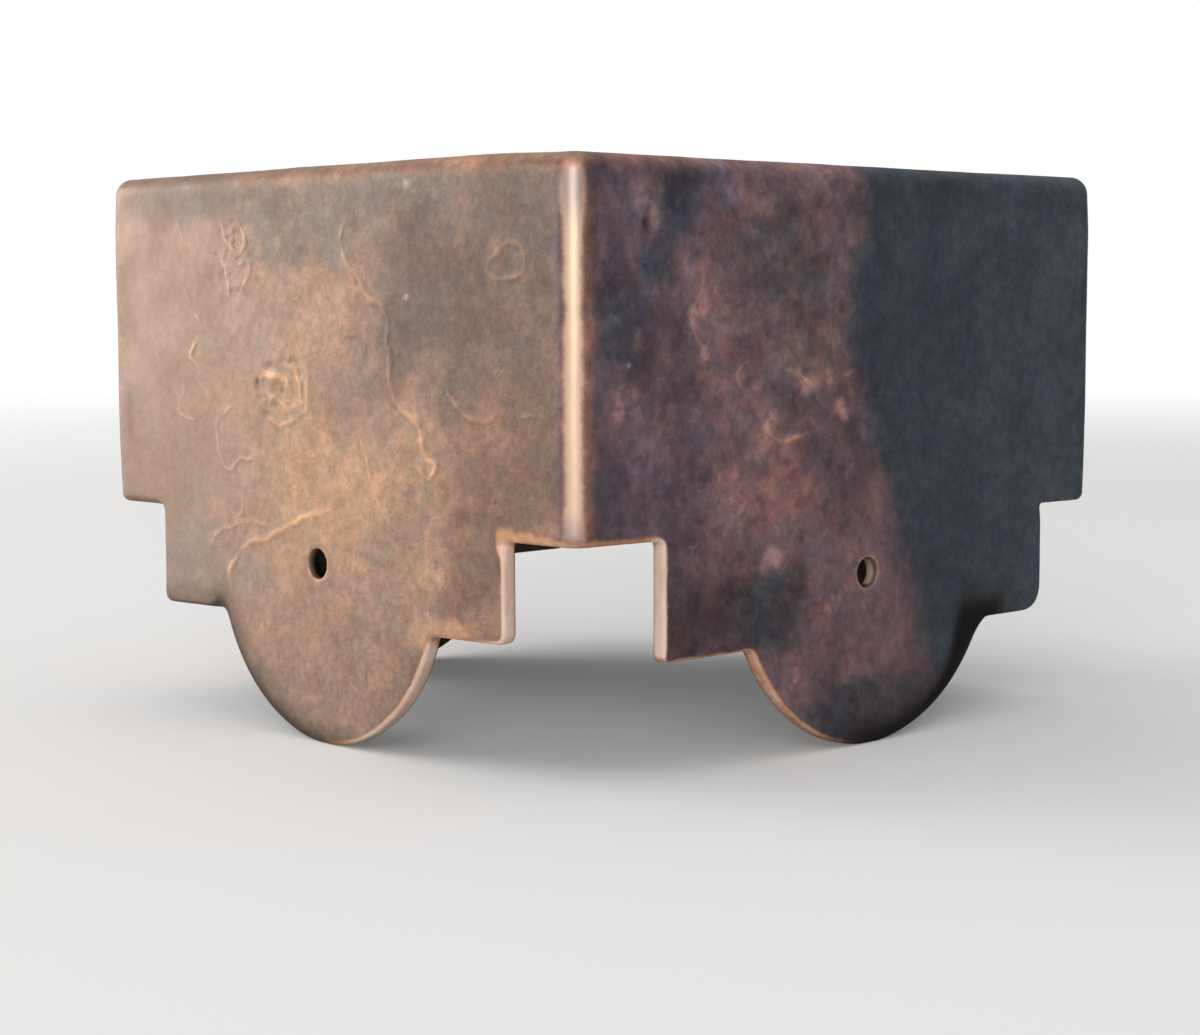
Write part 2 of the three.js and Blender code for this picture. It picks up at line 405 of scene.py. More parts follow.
def edge_rounding(turn, points, labels):
    """How far the rounding reaches over the face and into the wall at each point of a skirt's outline."""
    reach = np.choose(labels, EDGE_REACH)
    depth = np.choose(labels, EDGE_DEPTH)
    middle = points[labels == AT_LOBE, 0].mean()
    far_side = (middle - points[:, 0]) * (1 if turn == FRONT else -1)
    eased = (labels == AT_LOBE) * np.clip(0.5 + far_side / 16, 0.0, 1)
    reach = reach + eased * (LOBE_REACH - reach)
    depth = depth + eased * (LOBE_DEPTH - depth)
    if turn == FRONT:
        notch = FLAP_WIDTH / 2
        share = np.clip((SEAM_X - 3 - points[:, 0]) / (SEAM_X - 3 - notch), 0, 1)
        bevel = (labels == AT_CORNER) * (points[:, 0] > notch) * share
        reach += bevel * (NOTCH_BEVEL_REACH - reach)
    reach, depth = smoothed(reach), smoothed(depth)
    reach[[0, -1]] = EDGE_REACH[0]
    depth[[0, -1]] = EDGE_DEPTH[0]
    return reach, depth


def edge_wear(turn, points, labels):
    """How strongly each point of a skirt's outline is rubbed bare, and how dark it is made there."""
    if turn not in SEEN_SIDES:
        return np.full(len(points), 0.55), smoothed(0.3 * (labels == AT_LOBE))
    near = points[:, 0] * (1 if turn == FRONT else -1)
    worn_near = np.choose(labels, (0.56, 1.0, 0.52, 0.85) if turn == FRONT else (0.48, 1.0, 0.46, 0.56))
    worn_far = np.choose(labels, (0.25, 0.3, 0.2, 0.0))
    share = smooth_step(near, -6, 10)
    # Painted shade on the far side of the lobe; the far part of each hem is made darker too
    lobe_shade = 0.75 if turn == FRONT else 1.0
    shade = lobe_shade * (labels == AT_LOBE) * smooth_step(near, 12, -4)
    shade += 0.5 * (labels == AT_HEM) * smooth_step(near, 0, -20)
    return smoothed(worn_near * share + worn_far * (1 - share)), smoothed(shade, 12)


def edge_rings(points, normals, reach, depth):
    """Rings of points over an edge, each as (points, depth), from the outer skin to the inner one."""
    rings = []
    for angle in np.linspace(0, math.pi / 2, OUTER_STEPS + 1):
        inset = reach * (1 - math.sin(angle))
        rings.append((points + normals * inset[:, None], depth * (1 - math.cos(angle))))
    for share in np.arange(1, CUT_STEPS) / CUT_STEPS:
        rings.append((points, depth * (1 - share) + (WALL - INNER_EDGE) * share))
    for angle in np.linspace(math.pi / 2, 0, INNER_STEPS + 1):
        inset = INNER_EDGE * (1 - math.sin(angle))
        inner = np.full(len(points), WALL - INNER_EDGE * (1 - math.cos(angle)))
        rings.append((points + normals * inset, inner))
    return rings


def seam_heights():
    bottom = CORNER_EDGE + EDGE_REACH[0]
    return np.linspace(bottom, SKIN_TOP, round((SKIN_TOP - bottom) / SEAM_STEP) + 1)


def corner_columns():
    """Where the upright rows of points stand that bend round a corner, up to and with its middle."""
    return np.linspace(FLAT_HALF, SEAM_X, CORNER_COLUMNS + 1)


def top_columns():
    flat = np.linspace(-FLAT_HALF, FLAT_HALF, round(2 * FLAT_HALF / SEAM_STEP) + 1)
    bend = corner_columns()[1:]
    return np.concatenate([-bend[::-1], flat, bend])


def drawn(line, ring, step):
    """Points a step apart on the smooth line through drawn ones."""
    points = np.array(line, float)
    if ring:
        points = np.concatenate([points[-1:], points, points[:2]])
    else:
        points = np.concatenate([2 * points[:1] - points[1:2], points, 2 * points[-1:] - points[-2:-1]])
    stretches = []
    for p0, p1, p2, p3 in zip(points, points[1:], points[2:], points[3:]):
        count = max(1, round(math.dist(p1, p2) / step))
        t = np.arange(count)[:, None] / count
        bend = (2 * p0 - 5 * p1 + 4 * p2 - p3) * (t * t) + (3 * p1 - p0 - 3 * p2 + p3) * (t * t * t)
        stretches.append(0.5 * (2 * p1 + (p2 - p0) * t + bend))
    if not ring:
        stretches.append(points[-2:-1])
    return np.concatenate(stretches)


def unsteady(points, seed, amount=0.3, length=1.9):
    """The same line with the small tremble of a real crack or vein."""
    shift = [noise.noise_vector(Vector((x / length, z / length, seed)))[:2] for x, z in points]
    return points + np.array(shift) * amount


def finished_vein(line, seed):
    """A vein's points, with the half width of its foot and its height at each, in mm."""
    points = unsteady(drawn(line["points"], line["ring"], VEIN_STEP), seed)
    points = unsteady(points, seed + 7, 0.2, 0.8)
    swing = np.array([noise.noise(Vector((x / 2.2, z / 2.2, seed + 20))) for x, z in points])
    taper = np.ones(len(points))
    if not line["ring"]:
        place = np.arange(len(points)) * VEIN_STEP
        taper = 0.35 + 0.65 * smooth_step(np.minimum(place, place[::-1]), 0, 2.5)
    half_width = line["wide"] / 2 * (0.85 + 0.15 * taper) * (1 + 0.7 * swing)
    return {"points": points, "ring": line["ring"], "half_width": half_width,
            "height": line["high"] * taper * np.clip(1 + 1.4 * swing, 0.35, 1.6)}


def wandering_veins(rng, count=5):
    """Veins of a hidden side, fewer and plainer than those that are drawn."""
    veins = []
    for _ in range(count):
        place = np.array([rng.uniform(-38, 38), rng.uniform(36, 70)])
        heading = rng.uniform(0, 2 * math.pi)
        line = [place]
        for _ in range(rng.integers(3, 8)):
            heading += rng.uniform(-0.9, 0.9)
            place = place + rng.uniform(1.6, 3.0) * np.array([math.cos(heading), math.sin(heading)])
            if abs(place[0]) > 44 or not 33 < place[1] < 71:
                break
            line.append(place)
        if len(line) > 2:
            veins.append(vein(*line, high=rng.uniform(0.06, 0.11)))
    return tuple(veins)


hand = np.random.default_rng(VEIN_SEED)
VEINS = {FRONT: FRONT_VEINS, RIGHT: RIGHT_VEINS, BACK: wandering_veins(hand), LEFT: wandering_veins(hand)}
PITS = {FRONT: FRONT_PITS, RIGHT: RIGHT_PITS, BACK: (), LEFT: ()}
CRUMPLES = {FRONT: FRONT_CRUMPLES, RIGHT: RIGHT_CRUMPLES, BACK: (), LEFT: ()}
finished_veins = {
    turn: [finished_vein(line, 3.7 * number + 50 * turn) for number, line in enumerate(lines)]
    for turn, lines in VEINS.items()
}


def tree_of(points):
    tree = kdtree.KDTree(len(points))
    for number, point in enumerate(points):
        tree.insert((*point, 0), number)
    tree.balance()
    return tree


def distances(points, others):
    """How far each point is from the nearest of the others, and which that is."""
    tree = tree_of(others)
    found = [tree.find((*point, 0)) for point in points]
    return np.array([row[2] for row in found]), np.array([row[1] for row in found], int)


def apart(points, gap):
    """The points, in their order, without those that come too near an earlier one."""
    cells = {}
    kept = []
    for point in points:
        cell = (int(point[0] // gap), int(point[1] // gap))
        near = [(cell[0] + i, cell[1] + j) for i in (-1, 0, 1) for j in (-1, 0, 1)]
        around = [p for key in near for p in cells.get(key, ())]
        if all((point[0] - p[0]) ** 2 + (point[1] - p[1]) ** 2 > gap * gap for p in around):
            cells.setdefault(cell, []).append(point)
            kept.append(point)
    return np.array(kept).reshape(-1, 2)


def honeycomb(low, high, step, rng, stray=0.1):
    """Points in even rows, each shifted half a step from the last, all a little astray."""
    rows = np.arange(low[1], high[1], step * math.sqrt(0.75))
    columns = np.arange(low[0], high[0], step)
    x, z = np.meshgrid(columns, rows)
    x[1::2] += step / 2
    points = np.stack([x.ravel(), z.ravel()], 1)
    return points + rng.uniform(-stray, stray, points.shape) * step


def within(points, outline):
    """Which points lie inside a closed outline."""
    inside = np.zeros(len(points), bool)
    for (x1, z1), (x2, z2) in zip(outline, np.roll(outline, -1, 0)):
        if z1 != z2:
            crosses = (z1 > points[:, 1]) != (z2 > points[:, 1])
            inside ^= crosses & (points[:, 0] < x1 + (points[:, 1] - z1) * (x2 - x1) / (z2 - z1))
    return inside


def filled(outline, holes, inner):
    """The triangles of a flat patch with holes, through inner points, and all of its points in order."""
    loops = [outline, *holes]
    edges = []
    start = 0
    for loop in loops:
        edges += [(start + i, start + (i + 1) % len(loop)) for i in range(len(loop))]
        start += len(loop)
    points = np.concatenate([*loops, inner]) if len(inner) else np.concatenate(loops)
    vectors = [Vector(point) for point in points]
    _, _, faces, sources, _, _ = delaunay_2d_cdt(vectors, edges, [], 1, 1e-6, True)
    source = [ids[0] for ids in sources]
    triangles = np.array([[source[i] for i in face] for face in faces])
    centres = points[triangles].mean(1)
    keep = within(centres, outline)
    for hole in holes:
        keep &= ~within(centres, hole)
    return points, triangles[keep]


def vein_rows(turn):
    """Rows of points along the veins of a side and round its pits, the most important first."""
    rows = []
    for offset in VEIN_ROWS:
        for line in finished_veins[turn]:
            rows.append(line["points"] + left_normals(line["points"], line["ring"]) * offset)
    for hollow in PITS[turn]:
        centre = np.array(hollow["place"])
        rows.append(centre[None])
        for share in PIT_RINGS:
            radius = hollow["wide"] * share
            turns = np.linspace(0, 2 * math.pi, max(6, round(2 * math.pi * radius / PIT_STEP)), False)
            rows.append(centre + radius * np.stack([np.cos(turns), np.sin(turns)], 1))
    return np.concatenate(rows) if rows else np.zeros((0, 2))


def crumple(turn, points):
    """How crumpled the skin of a side is at each point, from 0 to 1."""
    amount = np.zeros(len(points))
    for centre, half_wide, half_high in CRUMPLES[turn]:
        distance = np.hypot(*((points - centre) / (half_wide, half_high)).T)
        amount = np.maximum(amount, smooth_step(distance, 1.15, 0.6))
    return amount


def skin_points(turn, outline, holes, rng):
    """The inner points of a side's outer skin: fine along veins and in crumples, even elsewhere."""
    columns = corner_columns()[:-1]
    heights = seam_heights()[1:-1]
    bent = np.array([(side * x, z) for side in (-1, 1) for x in columns for z in heights])
    fine = vein_rows(turn)
    for centre, half_wide, half_high in CRUMPLES[turn]:
        size = np.array([half_wide, half_high]) * 1.1
        spot = honeycomb(centre - size, centre + size, FINE_STEP, rng)
        fine = np.concatenate([fine, spot[np.hypot(*((spot - centre) / size).T) < 1]])
    fine = fine[np.abs(fine[:, 0]) < FLAT_HALF - 0.3]
    if len(fine):
        fine = apart(fine, FINE_GAP)
    step = SEEN_STEP if turn in SEEN_SIDES else HIDDEN_STEP
    even = honeycomb((-FLAT_HALF + 0.6 * step, 0), (FLAT_HALF - 0.6 * step, SKIN_TOP), step, rng)
    fixed = np.concatenate([outline, *holes])
    if len(fine):
        even = even[distances(even, fine)[0] > 0.6 * step]
    inner = np.concatenate([bent, fine, even])
    inner = inner[within(inner, outline)]
    gap = distances(inner, fixed)[0]
    needed = np.where(np.abs(inner[:, 0]) >= FLAT_HALF - 1e-6, CORNER_RIM_GAP, RIM_GAP)
    inner = inner[gap > needed]
    for hole in holes:
        inner = inner[~within(inner, hole)]
    return inner


class Shell:
    """The faces of the cap, gathered patch by patch, with what each vertex carries."""

    layer_names = ("swell", "rubbed", "shade", "inside", "crumple")

    def __init__(self):
        self.places = []
        self.faces = []
        self.layers = {name: [] for name in self.layer_names}
        self.count = 0

    def add(self, places, faces, **values):
        places = places.reshape(-1, 3)
        self.faces += [tuple(int(i) + self.count for i in face) for face in faces]
        self.places.append(places)
        for name in self.layer_names:
            value = np.asarray(values.get(name, 0.0), float)
            self.layers[name].append(np.broadcast_to(value.ravel() if value.ndim else value, len(places)))
        self.count += len(places)

    def mesh(self, name):
        """One closed mesh in metres, joined where the patches meet."""
        mesh = bpy.data.meshes.new(name)
        mesh.from_pydata((warped(np.concatenate(self.places)) * MM).tolist(), [], self.faces)
        for layer, values in self.layers.items():
            carry(mesh, layer, np.concatenate(values))
        work = bmesh.new()
        work.from_mesh(mesh)
        bmesh.ops.remove_doubles(work, verts=work.verts, dist=MERGE_GAP)
        for face in work.faces:
            face.smooth = True
        work.to_mesh(mesh)
        work.free()
        return mesh


def strips(rows, columns, closed=False, upwards=False):
    """Four-sided faces between rows of points, where each row is below the one before, or above it."""
    faces = []
    for row in range(rows - 1):
        for column in range(columns if closed else columns - 1):
            after = (column + 1) % columns
            corners = (row * columns + column, (row + 1) * columns + column,
                       (row + 1) * columns + after, row * columns + after)
            faces.append(corners[::-1] if upwards else corners)
    return faces


def rubbed_over(distance, reach, strength):
    """The rubbed share on an edge: whole on the outer part of its rounding and gone a little past it."""
    return strength * np.clip(1.35 - distance / reach, 0, 1)


# How far in mm the painted shade on the right lobe's far flank reaches in from its edge, by degrees below
# level
FLANK_WIDTHS = ((0, 11.5), (25, 9.5), (50, 4.2), (75, 2.2), (100, 1.2))


def lobe_shadow(turn, points):
    """The painted shade on the far flank of the right side's lobe, from 0 to 1 at each point."""
    if turn != RIGHT:
        return np.zeros(len(points))
    across, up = points.T
    right = across - SKIRTS[RIGHT]["shift"] - SKIRTS[RIGHT]["lobe"][1]
    radius = SKIRTS[RIGHT]["lobe"][0]
    inward = radius - np.hypot(right, up - radius)
    below = np.degrees(np.arctan2(radius - up, right))
    width = np.interp(below, *zip(*FLANK_WIDTHS))
    flank = smooth_step(inward, width, 0.5 * width) * smooth_step(inward, -7.0, -1.0)
    return flank * smooth_step(up, 21.5, 15.0) * smooth_step(below, 100, 70)


def shaded_over(gap, reach):
    """How the painted shade along an edge fades out over the face."""
    return smooth_step(gap, reach + 3.8, 0.2)


def add_edge(shell, turn, rings, reach, strength, shade, closed=False):
    """The faces that lead over a cut edge, from the outer skin to the inner one."""
    points = np.stack([ring for ring, _ in rings])
    depth = np.stack([ring_depth for _, ring_depth in rings])
    inset = np.linalg.norm(points - points[OUTER_STEPS], axis=2)
    outer = np.arange(len(rings))[:, None] <= OUTER_STEPS
    thinned = strength * (1 - 0.25 * smooth_step(depth, 1.4, 2.0))
    rubbed = np.where(outer, rubbed_over(inset, reach, strength), thinned)
    swell = np.where(outer, 1 - depth / WALL * 2, 0)
    swell[-1] = -1
    inside = np.zeros(depth.shape)
    inside[-2:] = 1
    rubbed[-2:] = 0
    shadow = np.stack([lobe_shadow(turn, ring) for ring, _ in rings])
    shade = np.maximum(np.where(outer, shade * shaded_over(inset, reach), shade), shadow)
    shell.add(
        unrolled_to_place(turn, points[..., 0], points[..., 1], depth),
        strips(*depth.shape, closed=closed),
        rubbed=rubbed, shade=shade, swell=swell, inside=inside,
    )


def add_hole(shell, turn, rings, outward):
    """A nail hole's faintly rubbed rim and its bore, darker with depth, with a painted highlight on its right
    in one hole.
    """
    depth = np.stack([ring_depth for _, ring_depth in rings])
    points = np.stack([ring for ring, _ in rings])
    inside = np.zeros(depth.shape)
    inside[-2:] = 1
    # A painted highlight on the right-hand wall of the right side's bore, where the shade is lifted
    right_half = smooth_step(outward[:, 0], 0.1, 0.7) * (turn == RIGHT)
    lit_wall = right_half * smooth_step(depth, HOLE_DEPTH, HOLE_DEPTH + 0.3)
    rim = HOLE_WEAR * smooth_step(depth, 0.6 * HOLE_DEPTH, 0)
    shell.add(
        unrolled_to_place(turn, points[..., 0], points[..., 1], depth),
        strips(*depth.shape, closed=True),
        rubbed=np.maximum(rim, 0.75 * lit_wall), inside=inside,
        shade=smooth_step(depth, 0.2, 0.9) * (1 - 0.6 * lit_wall), swell=1 - depth / WALL * 2,
    )


def add_side(shell, turn, rng):
    """One skirt with its rounded edges, its nail hole and its inner face."""
    skirt = SKIRTS[turn]
    points, labels = skirt_outline(skirt)
    reach, depth = edge_rounding(turn, points, labels)
    strength, shade = edge_wear(turn, points, labels)
    rings = edge_rings(points, left_normals(points, level_ends=True), reach, depth)
    add_edge(shell, turn, rings, reach, strength, shade)

    turns = np.linspace(0, -2 * math.pi, HOLE_POINTS, False)
    outward = np.stack([np.cos(turns), np.sin(turns)], 1)
    centre = np.array([skirt["shift"] + skirt["hole"][0], skirt["hole"][1]])
    hole = centre + HOLE_RADIUS * outward
    whole = np.ones(HOLE_POINTS)
    hole_rings = edge_rings(hole, outward, whole * HOLE_REACH, whole * HOLE_DEPTH)
    add_hole(shell, turn, hole_rings, outward)

    heights = seam_heights()
    columns = top_columns()
    right_seam = np.stack([np.full(len(heights) - 1, SEAM_X), heights[1:]], 1)
    top = np.stack([columns[-2::-1], np.full(len(columns) - 1, SKIN_TOP)], 1)
    left_seam = np.stack([np.full(len(heights) - 2, -SEAM_X), heights[-2:0:-1]], 1)
    outline = np.concatenate([rings[0][0], right_seam, top, left_seam])
    inner = skin_points(turn, outline, [hole_rings[0][0]], rng)
    skin, triangles = filled(outline, [hole_rings[0][0]], inner)
    gap, nearest = distances(skin, points)
    hole_gap = np.abs(np.linalg.norm(skin - centre, axis=1) - HOLE_RADIUS)
    rubbed = np.maximum(
        rubbed_over(gap, reach[nearest], strength[nearest]),
        HOLE_WEAR * smooth_step(hole_gap, HOLE_HALO, HOLE_REACH),
    )
    shell.add(
        unrolled_to_place(turn, skin[:, 0], skin[:, 1]), triangles,
        swell=1, rubbed=rubbed,
        shade=np.maximum(shade[nearest] * shaded_over(gap, reach[nearest]), lobe_shadow(turn, skin)),
        crumple=crumple(turn, skin),
    )

    inner_top = HEIGHT - WALL - INNER_FILLET
    inner_line = np.stack([columns[::-1], np.full(len(columns), inner_top)], 1)
    inner_heights = inner_seam_heights()
    right_seam = np.stack([np.full(len(inner_heights) - 2, SEAM_X), inner_heights[1:-1]], 1)
    left_seam = np.stack([np.full(len(inner_heights) - 2, -SEAM_X), inner_heights[-2:0:-1]], 1)
    outline = np.concatenate([rings[-1][0], right_seam, inner_line, left_seam])
    even = honeycomb((-FLAT_HALF, 0), (FLAT_HALF, inner_top), INNER_STEP, rng)
    even = even[within(even, outline)]
    even = even[distances(even, np.concatenate([outline, hole_rings[-1][0]]))[0] > 0.5 * INNER_STEP]
    even = even[~within(even, hole_rings[-1][0])]
    bent = [(side * x, z) for side in (-1, 1) for x in corner_columns()[:-1:3] for z in inner_heights[1:-1]]
    wall, triangles = filled(outline, [hole_rings[-1][0]], np.concatenate([even, bent]))
    shell.add(
        unrolled_to_place(turn, wall[:, 0], wall[:, 1], WALL), triangles[:, ::-1],
        swell=-1, inside=1,
    )


def inner_seam_heights():
    bottom = CORNER_EDGE + INNER_EDGE
    top = HEIGHT - WALL - INNER_FILLET
    return np.linspace(bottom, top, round((top - bottom) / INNER_STEP) + 1)


def add_roof(shell, rng):
    """The roof plate, rounded over to the skirts, and its flat underside."""
    columns = top_columns()
    outer_ring = []
    inner_ring = []
    for turn in range(4):
        angles = np.linspace(0, math.pi / 2, ROOF_EDGE_ROWS)
        inset = ROOF_EDGE_RADIUS * (1 - np.cos(angles))[:, None]
        height = SKIN_TOP + ROOF_EDGE_RADIUS * np.sin(angles)[:, None]
        places = unrolled_to_place(turn, columns[None], height, inset)
        shell.add(places, strips(len(angles), len(columns), upwards=True), swell=1)
        outer_ring.append(places[-1, :-1, :2])

        angles = np.linspace(0, math.pi / 2, INNER_ROOF_ROWS)
        inset = WALL + INNER_FILLET * (1 - np.cos(angles))[:, None]
        height = HEIGHT - WALL - INNER_FILLET + INNER_FILLET * np.sin(angles)[:, None]
        places = unrolled_to_place(turn, columns[None], height, inset)
        shell.add(places, strips(len(angles), len(columns)), swell=-1, inside=1)
        inner_ring.append(places[-1, :-1, :2])

    for ring, height, step, inside in (
        (np.concatenate(outer_ring), HEIGHT, ROOF_STEP, 0),
        (np.concatenate(inner_ring), HEIGHT - WALL, INNER_STEP, 1),
    ):
        even = honeycomb(ring.min(0), ring.max(0), step, rng)
        even = even[within(even, ring)]
        even = even[distances(even, ring)[0] > 0.55 * step]
        points, triangles = filled(ring, [], even)
        places = np.column_stack([points, np.full(len(points), height)])
        shell.add(places, triangles[:, ::-1] if inside else triangles, swell=1 - 2 * inside, inside=inside)


def warped(places):
    """The places in mm with the slight warp of the casting: its front edge rises, two corners bow out."""
    x, y, z = places.T
    lift = FRONT_LIFT * smooth_step(x, 50, 30) * smooth_step(y, 10, -40) * smooth_step(z, 60, 74)
    waist = smooth_step(z, 26, 44) * smooth_step(z, 77, 66)
    right_bow = RIGHT_BOW * smooth_step(x, 20, 50) * smooth_step(y, 20, 50) * waist
    left_bow = LEFT_BOW * smooth_step(x, -20, -50) * smooth_step(y, -20, -50) * waist
    return np.stack([x + right_bow - left_bow, y + right_bow - left_bow, z + lift], 1)


def cast_shell():
    """The whole cap as one closed mesh, before its relief."""
    rng = np.random.default_rng(MESH_SEED)
    shell = Shell()
    for turn in range(4):
        add_side(shell, turn, rng)
    add_roof(shell, rng)
    return shell.mesh("cast_shell")


# Colours of the metal, linear
PALE_TAN = (0.345, 0.231, 0.172)
WARM_TAN = (0.385, 0.248, 0.168)
TAN_BROWN = (0.275, 0.18, 0.13)
ORANGE_TAN = (0.50, 0.30, 0.182)
BRIGHT_TAN = (0.62, 0.36, 0.22)
GREY_BROWN = (0.188, 0.138, 0.113)
OLIVE_BROWN = (0.19, 0.121, 0.093)
DARK_BROWN = (0.128, 0.086, 0.072)
LOBE_BROWN = (0.40, 0.255, 0.178)
LOW_BROWN = (0.26, 0.15, 0.102)
# Grey of a painted reflection where the front bends beside its lobe, and of patina on the left side
GREY_REFLECTION_AND_PATINA = (0.31, 0.245, 0.205)
BROW_TAN = (0.39, 0.29, 0.25)
BROW_COPPER = (0.40, 0.27, 0.235)
VIOLET_BROWN = (0.305, 0.21, 0.17)
PURPLE_BROWN = (0.19, 0.135, 0.165)
RED_BROWN = (0.275, 0.17, 0.187)
BLUE_GREY = (0.175, 0.152, 0.205)
PINK_GREY = (0.365, 0.245, 0.26)
COPPER_PINK = (0.42, 0.25, 0.25)
COPPER_RED = (0.42, 0.215, 0.21)
OLIVE_DARK = (0.135, 0.118, 0.132)
BLUE_BLACK = (0.098, 0.094, 0.124)
RED_BLACK = (0.11, 0.072, 0.084)
GREEN_BLACK = (0.085, 0.085, 0.1)
# Teals of the right side's dark far half, there partly a painted dark reflection, and of patina on the back
DARK_TEAL = (0.075, 0.093, 0.113)
FAR_TEAL = (0.098, 0.118, 0.14)
# Worn bare metal down the rubbed upright corners, with a painted highlight on it: a red-brown edge, an orange
# fringe and a cream core that turns paler grey towards its ends
HIGHLIGHT_EDGE_RED = (0.34, 0.18, 0.15)
HIGHLIGHT_FRINGE_ORANGE = (0.74, 0.44, 0.30)
POLISHED_HIGHLIGHT = (1.0, 0.73, 0.52)
HIGHLIGHT_GREY = (0.62, 0.47, 0.44)

# How the patina runs along each side, as (mm right of its middle, colour)
RUNS = {
    # The front's paleness towards its far end is partly a painted sheen
    FRONT: (
        (-50, PALE_TAN), (-20, PALE_TAN), (-4, WARM_TAN), (10, TAN_BROWN),
        (20, OLIVE_BROWN), (50, OLIVE_BROWN),
    ),
    RIGHT: ((-50, PURPLE_BROWN), (-37, PURPLE_BROWN), (-28, RED_BROWN), (50, RED_BROWN)),
    BACK: ((-50, DARK_TEAL), (-30, PURPLE_BROWN), (0, GREY_BROWN), (30, OLIVE_BROWN), (50, TAN_BROWN)),
    # The left side's pale end, beside the front's far end, carries that painted sheen round the corner
    LEFT: ((-50, OLIVE_BROWN), (-20, TAN_BROWN), (20, WARM_TAN), (50, PALE_TAN)),
}
ROOF_COLOUR = (0.27, 0.185, 0.14)

# The rubbed colour of the roof's rounded edge above the two seen sides, and the heights in mm between
# which it sets in
BROWS = {FRONT: BROW_TAN, RIGHT: BROW_COPPER}
BROW_HEIGHTS = (75.0, 76.4)

# Patches of other colours: colour, (right, up), half width and half height in mm, and strength
PATCHES = {
    FRONT: (
        (GREY_BROWN, (-6, 73.5), 48, 4.5, 0.8),
        (GREY_BROWN, (-3, 68), 11, 4.5, 0.8),
        (DARK_BROWN, (10, 73), 7, 3.5, 0.3),
        (GREY_BROWN, (-20, 66), 7, 5, 0.3),
        (ORANGE_TAN, (5, 34), 12, 8, 0.8),
        (BRIGHT_TAN, (7.3, 36), 2.4, 2.0, 0.7),
        (ORANGE_TAN, (-5, 26), 9, 4.5, 0.45),
        (ORANGE_TAN, (-20, 45), 6, 5, 0.25),
        (DARK_BROWN, (12, 51), 4, 4, 0.12),
        (DARK_BROWN, (22, 61), 8, 11, 0.85),
        (DARK_BROWN, (38, 61), 14, 12, 0.4),
        (DARK_BROWN, (42, 71.5), 10, 4, 0.3),
        (WARM_TAN, (21, 40), 9, 8, 0.9),
        (WARM_TAN, (20, 28), 9, 8, 0.8),
        (WARM_TAN, (23, 51), 5, 3.5, 0.3),
        (LOW_BROWN, (36, 36), 12, 12, 0.7),
        (BRIGHT_TAN, (34, 20.5), 4, 2.2, 0.28),
        (BRIGHT_TAN, (45, 31.5), 3, 2.4, 0.25),
        (BRIGHT_TAN, (25, 17.5), 8, 2.4, 0.8),
        (LOBE_BROWN, (0, 16), 24, 12, 0.8),
        (VIOLET_BROWN, (10, 21), 5, 3, 0.7),
        (VIOLET_BROWN, (-2, 4), 20, 6, 0.75),
        # Painted reflection: grey where the skin left of the lobe bends and mirrors other surroundings
        (GREY_REFLECTION_AND_PATINA, (-16, 21), 3.5, 7, 0.5),
        (GREY_REFLECTION_AND_PATINA, (-31, 23.5), 8, 6, 0.6),
        (ORANGE_TAN, (-31, 15.5), 6, 2.5, 0.45),
    ),
    RIGHT: (
        (BLUE_BLACK, (-31.5, 74), 2.8, 4, 0.9),
        (BLUE_BLACK, (-33.4, 69.5), 2.4, 4, 0.9),
        (BLUE_BLACK, (-36.5, 63), 3.2, 3.6, 0.9),
        (PINK_GREY, (-37.9, 71.2), 3.0, 3.0, 0.8),
        (PINK_GREY, (-37.3, 49.8), 2.4, 3.0, 0.65),
        (BLUE_BLACK, (-43, 35.5), 6, 4, 0.35),
        (BLUE_BLACK, (-44, 57), 6, 5.5, 0.8),
        (BLUE_GREY, (-27, 72), 4, 4, 0.7),
        (COPPER_PINK, (-28.5, 58), 4, 6, 0.5),
        (PURPLE_BROWN, (-29, 43.5), 6, 4, 0.8),
        (OLIVE_DARK, (-16, 64.5), 9, 5.5, 0.8),
        (OLIVE_DARK, (-7.5, 60.3), 6.0, 3.8, 0.6),
        (PINK_GREY, (-8, 73.5), 6, 3, 0.95),
        (BROW_COPPER, (-9.5, 52.8), 6.5, 3.6, 0.9),
        (COPPER_PINK, (-8.5, 52.4), 3.4, 2.4, 0.6),
        (OLIVE_DARK, (-16, 47.5), 6, 2.5, 0.5),
        (OLIVE_DARK, (-10.5, 45.6), 3.5, 1.5, 0.6),
        (COPPER_PINK, (-11, 48.8), 3.5, 1.8, 0.5),
        (COPPER_PINK, (-16.5, 41.5), 5, 3, 0.8),
        (COPPER_RED, (-18, 34.5), 9, 4, 0.7),
        (GREEN_BLACK, (-3.0, 40.3), 5.5, 5, 0.5),
        (RED_BLACK, (-33, 20), 5, 6, 0.8),
        (RED_BLACK, (-25, 19), 8, 5.5, 0.95),
        (GREEN_BLACK, (-16.5, 19.5), 7, 7, 0.95),
        (GREEN_BLACK, (2, 3.8), 15, 5.5, 0.9),
        (RED_BLACK, (11, 13), 4.5, 6, 0.4),
    ),
    BACK: (
        (RED_BROWN, (-20, 50), 14, 12, 0.6),
        (DARK_BROWN, (24, 60), 12, 10, 0.6),
        (TAN_BROWN, (8, 20), 18, 12, 0.6),
    ),
    LEFT: (
        (DARK_BROWN, (-30, 60), 12, 12, 0.5),
        (GREY_REFLECTION_AND_PATINA, (10, 44), 16, 8, 0.4),
        (TAN_BROWN, (-4, 16), 20, 12, 0.6),
    ),
}

# What a spot multiplies its surroundings by, for a lift of 1
COPPER_TINT = (1.0, 0.8, 0.62)
GREY_TINT = (0.8, 1.0, 1.15)
DARK_TINT = (1.0, 1.0, 1.0)


def spot(right, up, wide, high, lift, tint=COPPER_TINT):
    """A small brighter or darker spot: its place, half width and half height in mm, and its lift."""
    return {"place": (right, up), "half": (wide, high), "lift": lift, "tint": tint if lift > 0 else DARK_TINT}


